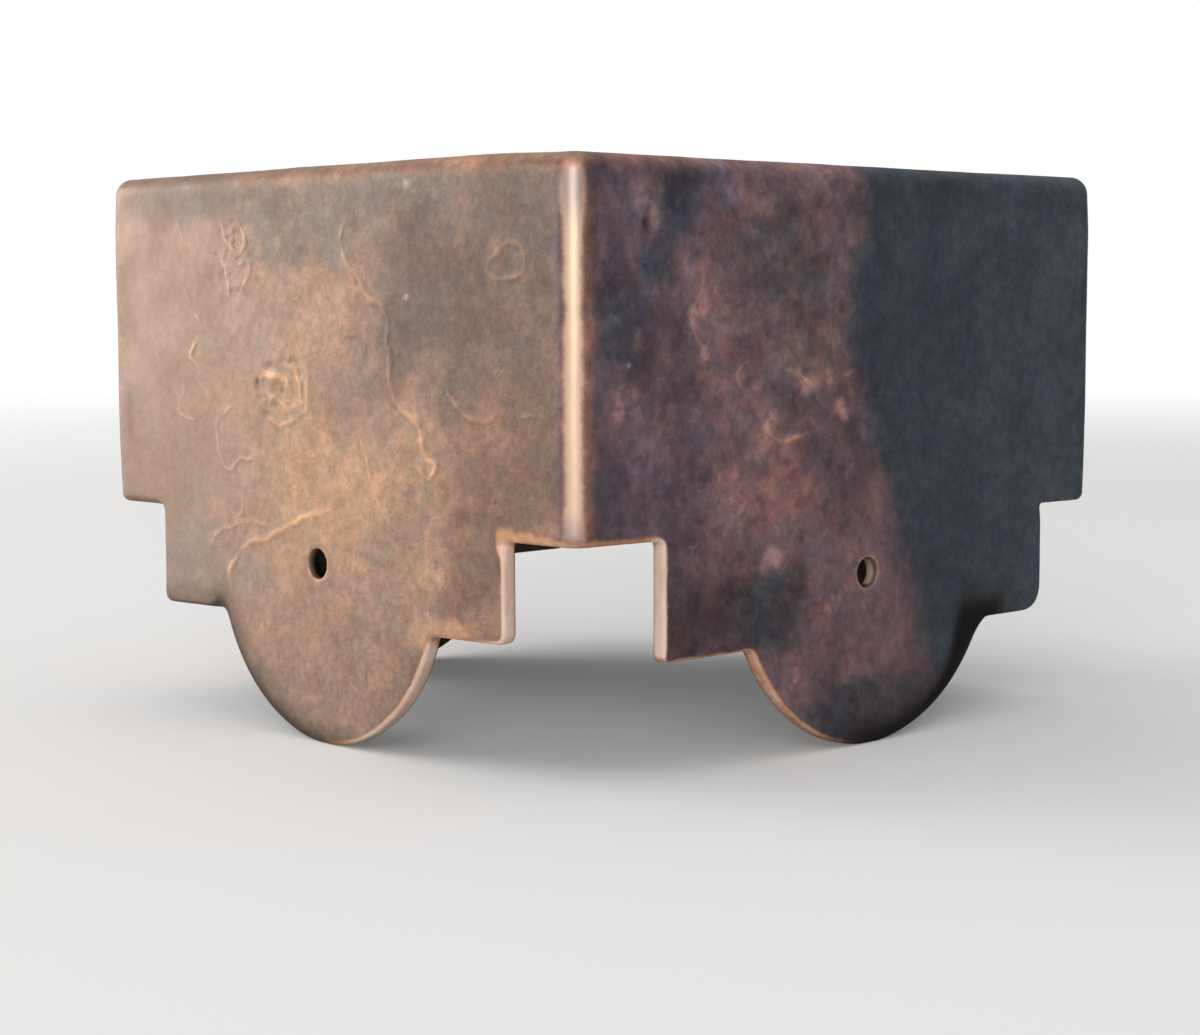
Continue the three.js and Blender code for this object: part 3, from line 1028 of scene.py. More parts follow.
SPOTS = {
    FRONT: (
        spot(-8.4, 66.9, 0.9, 0.9, 0.4), spot(12.4, 51.1, 1.4, 1.6, 0.25), spot(23.7, 38.4, 1.0, 1.0, 0.3),
        spot(19.6, 73.8, 0.45, 0.45, 1.5, GREY_TINT), spot(19.3, 59.4, 0.45, 0.45, 1.5, GREY_TINT),
        spot(25.2, 24.7, 1.4, 1.0, 0.25), spot(13.7, 32.3, 1.2, 1.0, 0.2), spot(21.4, 34.3, 1.0, 1.0, 0.2),
        spot(30.0, 32.2, 1.6, 1.2, -0.25), spot(26.5, 35.3, 1.5, 1.5, -0.25),
        spot(8.2, 17.0, 1.8, 1.2, -0.15), spot(-4.4, 18.2, 2.0, 1.5, -0.15),
        spot(-0.6, 8.8, 2.0, 1.4, -0.15), spot(37.6, 64.5, 0.9, 0.6, 0.35),
        # The long dark spot at (-45.9, 42.8) is painted shade along a soft upright fold
        spot(39.4, 63.4, 1.2, 1.0, -0.15), spot(-45.9, 42.8, 1.0, 4.0, -0.2),
        spot(-20.5, 63.4, 0.6, 1.0, 0.4), spot(-15.3, 72.4, 1.2, 0.5, 0.35),
        spot(-16.3, 62.0, 0.8, 0.8, 0.25), spot(-11.4, 49.4, 0.8, 0.6, 0.25),
        spot(-9.0, 42.8, 2.4, 0.6, 0.2), spot(-2.2, 46.5, 0.8, 2.6, 0.22), spot(-9.0, 47.0, 1.5, 0.7, -0.1),
        spot(-13.4, 47.8, 0.8, 1.0, -0.25),
    ),
    RIGHT: (
        spot(-10.4, 48.5, 1.7, 1.2, 1.0), spot(-12.4, 49.9, 0.8, 0.8, 0.6), spot(-11.5, 47.6, 0.9, 0.7, 0.6),
        spot(-6.4, 49.4, 0.7, 1.4, 0.5), spot(-2.2, 49.5, 1.6, 0.8, 0.5), spot(-4.3, 45.1, 1.3, 1.0, 1.1),
        spot(-3.4, 44.1, 1.0, 0.9, 0.8), spot(-23.0, 49.6, 0.7, 1.5, 0.6), spot(-20.0, 48.4, 1.0, 0.7, 0.7),
        spot(-29.2, 52.5, 0.8, 1.2, 0.9), spot(-29.4, 58.6, 0.9, 1.7, 0.8), spot(-31.3, 56.9, 0.8, 1.5, 0.6),
        spot(-30.0, 49.7, 0.9, 0.7, 0.5), spot(-37.6, 68.9, 0.8, 1.8, 1.1),
        spot(-39.2, 68.0, 0.7, 1.2, -0.5), spot(-43.7, 45.9, 0.9, 2.0, 0.9),
        spot(-40.5, 54.0, 0.9, 1.3, 0.8), spot(-42.0, 51.4, 0.36, 0.36, 2.2, GREY_TINT),
        spot(-47.2, 64.1, 1.8, 4.0, 0.7), spot(-47.4, 70.5, 1.4, 2.0, 0.4), spot(-17.0, 26.6, 1.7, 1.4, 1.0),
        spot(-18.9, 25.1, 1.0, 0.8, 0.7), spot(-3.2, 9.5, 2.0, 1.0, 0.5), spot(-5.4, 19.6, 1.8, 1.2, 0.35),
        spot(-18.0, 42.7, 1.0, 0.9, 0.6), spot(-16.7, 44.4, 1.0, 0.7, 0.5), spot(-13.5, 41.5, 1.6, 0.7, 0.6),
        spot(-17.7, 35.5, 1.8, 1.6, 0.35), spot(-23.5, 31.5, 1.6, 1.6, 0.3), spot(0.3, 41.9, 0.6, 1.4, 0.5),
        spot(-12.6, 23.0, 2.2, 3.2, -0.2), spot(-0.9, 74.6, 2.0, 0.8, 0.5),
    ),
    BACK: (),
    LEFT: (),
}

# The nearly upright border of the dark far half of the right side, which is partly a painted dark
# reflection: (up, right) in mm
DARK_BORDER = (
    (0.0, 19.5), (8.0, 14.5), (13.3, 12.2), (20.0, 10.6), (27.0, 8.8), (33.0, 7.4), (37.0, 5.2), (41.0, 2.8),
    (46.0, 0.8), (55.0, -1.8), (64.0, -0.5), (72.0, 0.4), (HEIGHT, 0.6),
)

# How strongly each side is mottled and how rubbed its roof edge is, as (mm right, mottling, roof edge wear)
FINISH = {
    # The front's faint mottling towards its far end goes with its painted sheen
    FRONT: ((-50, 0.12, 0.25), (-34, 0.17, 0.35), (-10, 0.31, 0.55), (20, 0.45, 0.75), (50, 0.46, 1.0)),
    RIGHT: (
        (-50, 0.75, 0.7), (-30, 0.8, 0.5), (-24, 0.8, 0.1), (-15, 0.8, 0.45), (-4, 0.8, 0.45), (2, 0.6, 0.1),
        (5, 0.42, 0.0), (50, 0.34, 0.0),
    ),
    BACK: ((-50, 0.6, 0.3), (0, 0.7, 0.6), (50, 0.6, 0.6)),
    LEFT: ((-50, 0.6, 0.6), (50, 0.4, 0.8)),
}


def mixed(colours, colour, share):
    return colours * (1 - share[:, None]) + np.array(colour) * share[:, None]


def strayed(places, length, amount, seed):
    """Shifts in mm that carry places a little astray, so that borders painted there look grown."""
    rows = [noise.noise_vector(Vector(place) / length + Vector((seed, 0, 0))) for place in places]
    return np.array(rows) * amount


def side_colours(turn, along, up):
    """The patina of one side at places right and up of its middle, in mm, with its painted sheen and dark
    reflection.
    """
    stops, run = zip(*RUNS[turn])
    colours = np.stack([np.interp(along, stops, channel) for channel in zip(*run)], 1)
    for colour, (right, height), half_wide, half_high, strength in PATCHES[turn]:
        distance = np.hypot((along - right) / half_wide, (up - height) / half_high)
        colours = mixed(colours, colour, strength * smooth_step(distance, 1.4, 0.5))
    # The right side's dark far half: teal patina and partly a painted dark reflection
    if turn == RIGHT:
        border = np.interp(up, *zip(*DARK_BORDER))
        softness = 1.9 + 1.6 * smooth_step(up, 60, 74) + 1.3 * smooth_step(up, 44, 24)
        teal = np.stack([np.interp(along, (14, 46), ends) for ends in zip(DARK_TEAL, FAR_TEAL)], 1)
        share = smooth_step(along - border, -softness - 2.5, softness)[:, None]
        colours = colours * (1 - share) + teal * share
    return colours


def spot_tint(turn, along, up):
    """What the small spots of a side multiply its colours by."""
    tint = np.ones((len(along), 3))
    for mark in SPOTS[turn]:
        (right, height), (half_wide, half_high) = mark["place"], mark["half"]
        distance = np.hypot((along - right) / half_wide, (up - height) / half_high)
        tint += smooth_step(distance, 1.35, 0.5)[:, None] * mark["lift"] * np.array(mark["tint"])
    return tint


def painted(places):
    """The broad colours at places in mm on the outer skin, the mottling, and the wear of the roof's edge."""
    fine = strayed(places, 3.0, 1.2, 40) + strayed(places, 1.3, 0.45, 80)
    wild = places + strayed(places, 9.0, 2.6, 0) + fine
    total = np.zeros(len(places))
    colours = np.zeros((len(places), 3))
    mottle = np.zeros(len(places))
    brow = np.zeros(len(places))
    for turn in range(4):
        _, out, _ = seen_from(turn, places)
        along, _, up = seen_from(turn, wild)
        stops, mottling, wear = zip(*FINISH[turn])
        weight = np.clip((out - SIDE / 2 + 4.0) / 1.6, 0, 1)
        near = places + 0.2 * fine
        spots = spot_tint(turn, seen_from(turn, near)[0], near[:, 2])
        side = side_colours(turn, along, up) * spots
        if turn in BROWS:
            edge = np.interp(seen_from(turn, near)[0], stops, wear) * smooth_step(near[:, 2], *BROW_HEIGHTS)
            side = mixed(side, BROWS[turn], edge)
        colours += side * weight[:, None]
        mottle += np.interp(along, stops, mottling) * weight
        brow += np.interp(along, stops, wear) * weight
        total += weight
    roof = 1 - np.clip(total, 0, 1)
    height = places[:, 2]
    share = (total + roof)[:, None]
    colours = (colours + np.array(ROOF_COLOUR) * roof[:, None]) / share
    brow = (brow + 0.2 * roof) / share[:, 0] * smooth_step(height, SKIN_TOP - 0.6, SKIN_TOP + 1.6)
    return colours, (mottle + 0.6 * roof) / share[:, 0], brow


def past_corner(turn, places):
    """How far in mm each place lies round to the right of the middle of a side's right-hand corner."""
    along, out, _ = seen_from(turn, places)
    right = along - FLAT_HALF
    ahead = out - FLAT_HALF
    arc = CORNER_RADIUS * (np.arctan2(np.clip(right, 0, None), np.clip(ahead, 1e-6, None)) - math.pi / 4)
    half = CORNER_RADIUS * math.pi / 4
    return np.where(right < 0, right - half, np.where(ahead < 0, half - ahead, arc))


# How strongly each upright corner is rubbed and carries its painted highlight, from the one between
# front and right round to the left one
CORNER_POLISH_AND_HIGHLIGHT = {FRONT: 1.0, RIGHT: 0.25, BACK: 0.4, LEFT: 0.3}


def corner_colours(places, colours):
    """The colours with each rubbed upright corner's painted highlight over them, and how polished each place
    is.
    """
    height = places[:, 2]
    polish = np.zeros(len(places))
    broad = np.array([noise.noise(Vector((0, 0, z / 4))) for z in height])
    waver = broad + 0.5 * np.array([noise.noise(Vector((9, 0, z / 1.5))) for z in height])
    ends = smooth_step(height, CORNER_EDGE - 0.4, CORNER_EDGE + 2.0)
    ends *= smooth_step(height, HEIGHT, SKIN_TOP - 1)
    greyed = smooth_step(height, 66, 72) + smooth_step(height, 35, 31)
    greyed += 0.6 * smooth_step(waver, 0.35, 0.6)
    # The cream core of the painted highlight, paler grey towards its ends and where it wavers
    bright = mixed(np.broadcast_to(POLISHED_HIGHLIGHT, colours.shape), HIGHLIGHT_GREY, np.clip(greyed, 0, 1))
    for turn, strength in CORNER_POLISH_AND_HIGHLIGHT.items():
        across = past_corner(turn, places) + 0.25
        flare = 0.45 * smooth_step(height, 64, 73) + 0.35 * smooth_step(height, 34, 30.5)
        half = (1.12 + 0.24 * waver + flare) * (0.6 + 0.4 * strength)
        # The red-brown edge of the painted highlight, beside the near corner
        if turn == FRONT:
            strip = smooth_step(across, 0.6, 1.2) * smooth_step(across, 3.3 + 0.7 * waver, 2.0)
            colours = mixed(colours, HIGHLIGHT_EDGE_RED, 0.8 * strip * smooth_step(height, SKIN_TOP, 68))
        fringe = smooth_step(np.abs(across), half + 0.5, half - 0.35) * ends * strength
        core = smooth_step(np.abs(across), half + 0.1, half - 0.7) * ends * strength
        colours = mixed(colours, HIGHLIGHT_FRINGE_ORANGE, fringe)
        colours = colours * (1 - core[:, None]) + bright * core[:, None]
        polish = np.maximum(polish, 0.5 * fringe + 0.5 * core)
    return colours, polish


def paint(mesh):
    """Writes the patina's broad colours and its finish on the mesh, as attributes."""
    places = np.empty(len(mesh.vertices) * 3, np.float32)
    mesh.vertices.foreach_get("co", places)
    places = places.reshape(-1, 3).astype(float) / MM
    colours, mottle, brow = painted(places)
    colours, polish = corner_colours(places, colours)
    patina = mesh.attributes.new("patina", "FLOAT_COLOR", "POINT")
    opaque_colours = np.column_stack([colours, np.ones(len(colours))])
    patina.data.foreach_set("color", opaque_colours.astype(np.float32).ravel())
    for name, values in (("mottle", mottle), ("brow", brow), ("polish", polish)):
        carry(mesh, name, values)


def guide(name, rows, edges, **layers):
    """A mesh of bare points or lines that the relief is measured from."""
    mesh = bpy.data.meshes.new(name)
    mesh.from_pydata((warped(np.concatenate(rows)) * MM).tolist(), edges, [])
    for layer, values in layers.items():
        carry(mesh, layer, np.concatenate(values) * MM)
    return placed(name, mesh)


def vein_guide():
    rows, edges, widths, heights = [], [], [], []
    start = 0
    for turn, lines in finished_veins.items():
        for line in lines:
            points = line["points"]
            count = len(points)
            rows.append(unrolled_to_place(turn, points[:, 0], points[:, 1]))
            last = count if line["ring"] else count - 1
            edges += [(start + i, start + (i + 1) % count) for i in range(last)]
            widths.append(line["half_width"])
            heights.append(line["height"])
            start += count
    return guide("vein_guide", rows, edges, half_width=widths, height=heights)


def pit_guide():
    rows, widths, heights = [], [], []
    for turn, hollows in PITS.items():
        for hollow in hollows:
            rows.append(unrolled_to_place(turn, *hollow["place"])[None])
            widths.append([hollow["wide"]])
            heights.append([-hollow["deep"]])
    return guide("pit_guide", rows, [], half_width=widths, height=heights)


class Wiring:
    """A node tree that is laid out call by call: each call adds a node and wires its inputs."""

    def __init__(self, tree):
        self.tree = tree

    def add(self, kind, wires=(), **settings):
        node = self.tree.nodes.new(kind)
        for name, value in settings.items():
            setattr(node, name, value)
        for socket, value in dict(wires).items():
            self.wire(node.inputs[socket], value)
        return node

    def wire(self, socket, value):
        if isinstance(value, bpy.types.NodeSocket):
            self.tree.links.new(value, socket)
        else:
            socket.default_value = value

    def math(self, operation, *values):
        return self.add("ShaderNodeMath", dict(enumerate(values)), operation=operation).outputs[0]

    def times(self, first, second):
        return self.math("MULTIPLY", first, second)

    def plus(self, first, second):
        return self.math("ADD", first, second)

    def minus(self, first, second):
        return self.math("SUBTRACT", first, second)

    def vector(self, operation, *values, scale=None):
        node = self.add("ShaderNodeVectorMath", dict(enumerate(values)), operation=operation)
        if scale is not None:
            self.wire(node.inputs["Scale"], scale)
        return node.outputs[1 if operation in ("DOT_PRODUCT", "LENGTH", "DISTANCE") else 0]

    def ramp(self, value, start, end, low=0.0, high=1.0, smooth=True):
        """The value carried from the range start to end over to the range low to high."""
        wires = {"Value": value, "From Min": start, "From Max": end, "To Min": low, "To Max": high}
        kind = "SMOOTHSTEP" if smooth else "LINEAR"
        return self.add("ShaderNodeMapRange", wires, interpolation_type=kind).outputs[0]

    def blend(self, share, first, second):
        """Two colours mixed by a share."""
        node = self.add("ShaderNodeMix", data_type="RGBA")
        for socket, value in ((0, share), (6, first), (7, second)):
            self.wire(node.inputs[socket], value)
        return node.outputs[2]

    def between(self, share, first, second):
        """Two numbers mixed by a share."""
        node = self.add("ShaderNodeMix", data_type="FLOAT")
        for socket, value in ((0, share), (2, first), (3, second)):
            self.wire(node.inputs[socket], value)
        return node.outputs[0]

    def noise(self, position, scale, detail, roughness):
        wires = {"Vector": position, "Scale": scale, "Detail": detail, "Roughness": roughness}
        return self.add("ShaderNodeTexNoise", wires)


def new_group(kind, name, inputs, outputs):
    """An empty node group with named sockets, and its wiring, input and output nodes."""
    tree = bpy.data.node_groups.new(name, kind)
    for direction, sockets in (("INPUT", inputs), ("OUTPUT", outputs)):
        for socket, (shape, default) in sockets.items():
            made = tree.interface.new_socket(name=socket, in_out=direction, socket_type="NodeSocket" + shape)
            if default is not None:
                made.default_value = default
    wiring = Wiring(tree)
    return tree, wiring, wiring.add("NodeGroupInput").outputs, wiring.add("NodeGroupOutput").inputs


def set_inputs(modifier, values):
    """Sets a Geometry Nodes modifier's inputs, each by its socket's identifier."""
    for item in modifier.node_group.interface.items_tree:
        if item.item_type == "SOCKET" and item.in_out == "INPUT" and item.name in values:
            modifier[item.identifier] = values[item.name]


# What a noise's swing about its middle is stretched by, and how sharply the folds are creased
NOISE_STRETCH = 4.0
FOLD_CREASE = 6.0

# In m: the depth from which a pit is wholly dark, the heights between which a vein turns from faint to
# bright, and the heights above the ground between which the skin gets free to stray up and down
DARK_PIT_DEPTH = 0.00012
VEIN_LIGHT_HEIGHTS = (0.00001, 0.00006)
FREE_HEIGHTS = (0.0002, 0.005)
RELIEF_SEED = 4.0


def relief_tree():
    """Geometry Nodes that raise veins, sink pits, crumple and wave the skin, and set the materials."""
    tree, wiring, given, result = new_group("GeometryNodeTree", "cast_relief", {
        "Shell": ("Geometry", None),
        "Veins": ("Object", None),
        "Pits": ("Object", None),
        "Wave height": ("Float", 0.0002),
        "Wave length": ("Float", 0.026),
        "Ripple height": ("Float", 0.00005),
        "Ripple length": ("Float", 0.005),
        "Wander": ("Float", 0.0001),
        "Wander length": ("Float", 0.014),
        "Crumple height": ("Float", 0.0003),
        "Crumple length": ("Float", 0.0025),
        "Seed": ("Float", 0.0),
        "Outside": ("Material", None),
        "Inside": ("Material", None),
    }, {"Cap": ("Geometry", None)})
    position = wiring.add("GeometryNodeInputPosition").outputs[0]
    normal = wiring.add("GeometryNodeInputNormal").outputs[0]

    def carried(name):
        return wiring.add("GeometryNodeInputNamedAttribute", {"Name": name}, data_type="FLOAT").outputs[0]

    def swing(length, detail):
        """A noise texture with waves of the named length, around 0.5."""
        scale = wiring.math("DIVIDE", 1.0, given[length])
        return wiring.add(
            "ShaderNodeTexNoise", {"Vector": position, "W": given["Seed"], "Scale": scale, "Detail": detail},
            noise_dimensions="4D",
        )

    def waves(name, detail):
        """Waves of the named length and height."""
        level = wiring.minus(swing(f"{name} length", detail).outputs[0], 0.5)
        return wiring.times(wiring.times(level, NOISE_STRETCH), given[f"{name} height"])

    def bank(guide_name, element):
        """How high the relief stands beside a guide, and its share of the full height."""
        shape = wiring.add("GeometryNodeObjectInfo", {"Object": given[guide_name]}).outputs["Geometry"]
        distance = wiring.add("GeometryNodeProximity", {0: shape}, target_element=element).outputs["Distance"]
        index = wiring.add("GeometryNodeSampleNearest", {0: shape}, domain="POINT").outputs[0]

        def at_guide(name):
            sample = wiring.add("GeometryNodeSampleIndex", {0: shape, "Index": index}, data_type="FLOAT")
            wiring.wire(sample.inputs["Value"], carried(name))
            return sample.outputs[0]

        share = wiring.ramp(distance, 0.0, at_guide("half_width"), 1.0, 0.0)
        return wiring.times(share, at_guide("height")), share

    wave, ripple = waves("Wave", 1.5), waves("Ripple", 2.0)
    fold_fac = wiring.math("ABSOLUTE", wiring.minus(swing("Crumple length", 1.0).outputs[0], 0.5))
    fold = wiring.minus(0.5, wiring.times(fold_fac, FOLD_CREASE))
    folds = wiring.times(wiring.times(fold, carried("crumple")), given["Crumple height"])
    vein_height, vein_share = bank("Veins", "EDGES")
    pit_height, _ = bank("Pits", "POINTS")
    hollow = wiring.ramp(pit_height, 0.0, -DARK_PIT_DEPTH)

    soft = wiring.times(wiring.plus(wave, ripple), carried("swell"))
    raised = wiring.plus(wiring.plus(vein_height, pit_height), wiring.plus(soft, folds))
    outward = wiring.vector("SCALE", normal, scale=raised)
    drift = wiring.vector("SUBTRACT", swing("Wander length", 1.0).outputs["Color"], (0.5, 0.5, 0.5))
    drift = wiring.vector("SCALE", drift, scale=wiring.times(given["Wander"], NOISE_STRETCH))
    height = wiring.add("ShaderNodeSeparateXYZ", {0: position}).outputs["Z"]
    free = wiring.ramp(height, *FREE_HEIGHTS)
    shares = wiring.add("ShaderNodeCombineXYZ", {0: 1.0, 1: 1.0, 2: free}).outputs[0]
    drift = wiring.vector("MULTIPLY", drift, shares)
    moved = wiring.add("GeometryNodeSetPosition", {"Geometry": given["Shell"]})
    wiring.wire(moved.inputs["Offset"], wiring.vector("ADD", outward, drift))

    shape = moved.outputs[0]
    strength = wiring.times(vein_share, wiring.ramp(vein_height, *VEIN_LIGHT_HEIGHTS, 0.25, 1.0))
    for name, value in (("vein", strength), ("pit", hollow)):
        stored = wiring.add(
            "GeometryNodeStoreNamedAttribute", {"Geometry": shape, "Name": name, "Value": value},
            data_type="FLOAT", domain="POINT",
        )
        shape = stored.outputs[0]
    whole = wiring.add("GeometryNodeRealizeInstances", {0: shape}).outputs[0]
    wires = {"Geometry": whole, "Material": given["Outside"]}
    outside = wiring.add("GeometryNodeSetMaterial", wires).outputs[0]
    hidden = wiring.math("GREATER_THAN", carried("inside"), 0.5)
    inside = wiring.add(
        "GeometryNodeSetMaterial", {"Geometry": outside, "Selection": hidden, "Material": given["Inside"]},
    )
    wiring.wire(result["Cap"], inside.outputs[0])
    return tree


# How many flecks and how many specks of the finest mottling go into a metre
FLECK_SCALE = 760.0
SPECK_SCALE = 1900.0


def mottling_group():
    """Uneven patina over a colour: clouds, coppery blotches, darker stains, thin broken lines and grain."""
    tree, wiring, given, result = new_group("ShaderNodeTree", "metal_mottling", {
        "Position": ("Vector", None),
        "Colour": ("Color", (0.4, 0.3, 0.2, 1)),
        "Amount": ("Float", 1.0),
        "Cloud size": ("Float", 0.006),
        "Blotch size": ("Float", 0.002),
        "Line size": ("Float", 0.005),
    }, {
        "Colour": ("Color", None), "Cloud": ("Float", None),
        "Lines": ("Float", None), "Blotches": ("Float", None),
    })
    position, amount = given["Position"], given["Amount"]

    def field(offset, size, share_of_size, detail, roughness):
        scale = wiring.math("DIVIDE", share_of_size, given[size])
        return wiring.noise(wiring.vector("ADD", position, offset), scale, detail, roughness).outputs[0]

    def tinted(colour, lift, tint):
        """The colour made lighter or darker, more in the red than in the blue."""
        factor = wiring.vector("ADD", (1, 1, 1), wiring.vector("SCALE", tint, scale=lift))
        return wiring.vector("MULTIPLY", colour, factor)

    cloud = field((0, 0, 0), "Cloud size", 1.0, 4.0, 0.55)
    lift = wiring.times(wiring.ramp(cloud, 0.32, 0.68, -0.26, 0.26), amount)
    colour = tinted(given["Colour"], lift, (1.05, 1.0, 0.95))
    warmth = wiring.ramp(field((0.5, 0.2, 0.1), "Cloud size", 1.7, 3.0, 0.5), 0.35, 0.65, -1.0, 1.0)
    colour = tinted(colour, wiring.times(warmth, amount), (0.1, -0.02, -0.08))

    cluster = field((0.31, 0.12, 0.77), "Cloud size", 0.8, 2.0, 0.5)
    blotch = field((0.9, 0.62, 0.25), "Blotch size", 1.0, 4.0, 0.6)
    clustered = wiring.plus(blotch, wiring.times(wiring.minus(cluster, 0.5), 0.9))
    light = wiring.times(wiring.ramp(clustered, 0.52, 0.7), amount)
    colour = tinted(colour, light, (0.55, 0.4, 0.32))
    dark = wiring.times(wiring.ramp(clustered, 0.46, 0.3), amount)
    colour = tinted(colour, dark, (-0.34, -0.3, -0.24))

    def crackle(offset, share_of_size):
        """Thin lines that wander and break off, from 0 to 1."""
        wave = field(offset, "Line size", share_of_size, 3.0, 0.5)
        near = wiring.ramp(wiring.math("ABSOLUTE", wiring.minus(wave, 0.5)), 0.0, 0.03, 1.0, 0.0)
        gate = field((0.2, offset[0], 0.6), "Line size", 0.7 * share_of_size, 3.0, 0.5)
        return wiring.times(near, wiring.ramp(gate, 0.46, 0.6))

    both = wiring.math("MAXIMUM", crackle((0.17, 0.53, 0.41), 1.0), crackle((0.67, 0.23, 0.91), 2.1))
    lines = wiring.times(both, wiring.ramp(amount, 0.0, 0.6, 0.1, 0.9))
    colour = tinted(colour, lines, (0.2, 0.15, 0.1))

    fleck = wiring.noise(wiring.vector("ADD", position, (0.4, 0.7, 0.3)), FLECK_SCALE, 3.0, 0.6).outputs[0]
    grain = wiring.noise(position, SPECK_SCALE, 3.0, 0.7).outputs[0]
    speckle = wiring.plus(wiring.ramp(fleck, 0.3, 0.7, -0.14, 0.14), wiring.ramp(grain, 0.3, 0.7, -0.1, 0.1))
    speckle = wiring.times(speckle, wiring.ramp(amount, 0.0, 0.4, 0.0, 1.0))
    colour = tinted(colour, speckle, (1.0, 0.96, 0.92))
    wiring.wire(result["Colour"], colour)
    wiring.wire(result["Cloud"], cloud)
    wiring.wire(result["Lines"], lines)
    wiring.wire(result["Blotches"], clustered)
    return tree


def rubbed_group():
    """Breaks the painted share of an edge up, so that its wear has a ragged border."""
    tree, wiring, given, result = new_group("ShaderNodeTree", "rubbed_metal", {
        "Position": ("Vector", None),
        "Share": ("Float", 0.0),
        "Break size": ("Float", 0.0012),
        "Break": ("Float", 0.5),
    }, {"Share": ("Float", None)})
    scale = wiring.math("DIVIDE", 1.0, given["Break size"])
    texture = wiring.noise(given["Position"], scale, 4.0, 0.6).outputs[0]
    broken = wiring.times(wiring.minus(texture, 0.5), given["Break"])
    lifted = wiring.plus(given["Share"], wiring.times(broken, wiring.ramp(given["Share"], 0.0, 0.1)))
    wiring.wire(result["Share"], wiring.ramp(lifted, 0.12, 0.8))
    return tree


def grain_group():
    """The fine pitted grain of sand-cast metal, as a height."""
    tree, wiring, given, result = new_group("ShaderNodeTree", "cast_grain", {
        "Position": ("Vector", None),
        "Grain size": ("Float", 0.0006),
    }, {"Height": ("Float", None)})
    scale = wiring.math("DIVIDE", 1.0, given["Grain size"])
    coarse = wiring.noise(given["Position"], wiring.times(scale, 0.35), 5.0, 0.65).outputs[0]
    fine = wiring.noise(given["Position"], scale, 3.0, 0.6).outputs[0]
    wiring.wire(result["Height"], wiring.plus(coarse, wiring.times(fine, 0.4)))
    return tree


def place_group(wiring, tree, wires):
    node = wiring.tree.nodes.new("ShaderNodeGroup")
    node.node_tree = tree
    for socket, value in wires.items():
        wiring.wire(node.inputs[socket], value)
    return node


def opaque(colour):
    return (*colour, 1.0)


def new_material(name):
    material = bpy.data.materials.new(name)
    material.use_nodes = True
    material.node_tree.nodes.clear()
    wiring = Wiring(material.node_tree)
    shader = wiring.add("ShaderNodeBsdfPrincipled")
    output = wiring.add("ShaderNodeOutputMaterial")
    wiring.wire(output.inputs["Surface"], shader.outputs[0])
    return material, wiring, shader


WORN_ORANGE = (0.80, 0.42, 0.24)
# The cream of the worn cut edges, partly a painted highlight where they face the lights
WORN_AND_LIT_CREAM = (1.0, 0.76, 0.64)
# The near black that painted shade turns colours towards
SHADE_BLACK = (0.03, 0.024, 0.024)
INNER_BROWN = (0.13, 0.095, 0.08)

# What multiplies the patina on veins and in pits, and the colour on the roof's edge
VEIN_TINT = (1.55, 1.38, 1.16)
PIT_TINT = (0.4, 0.4, 0.42)
BROW_TINT = (1.3, 1.02, 0.82)


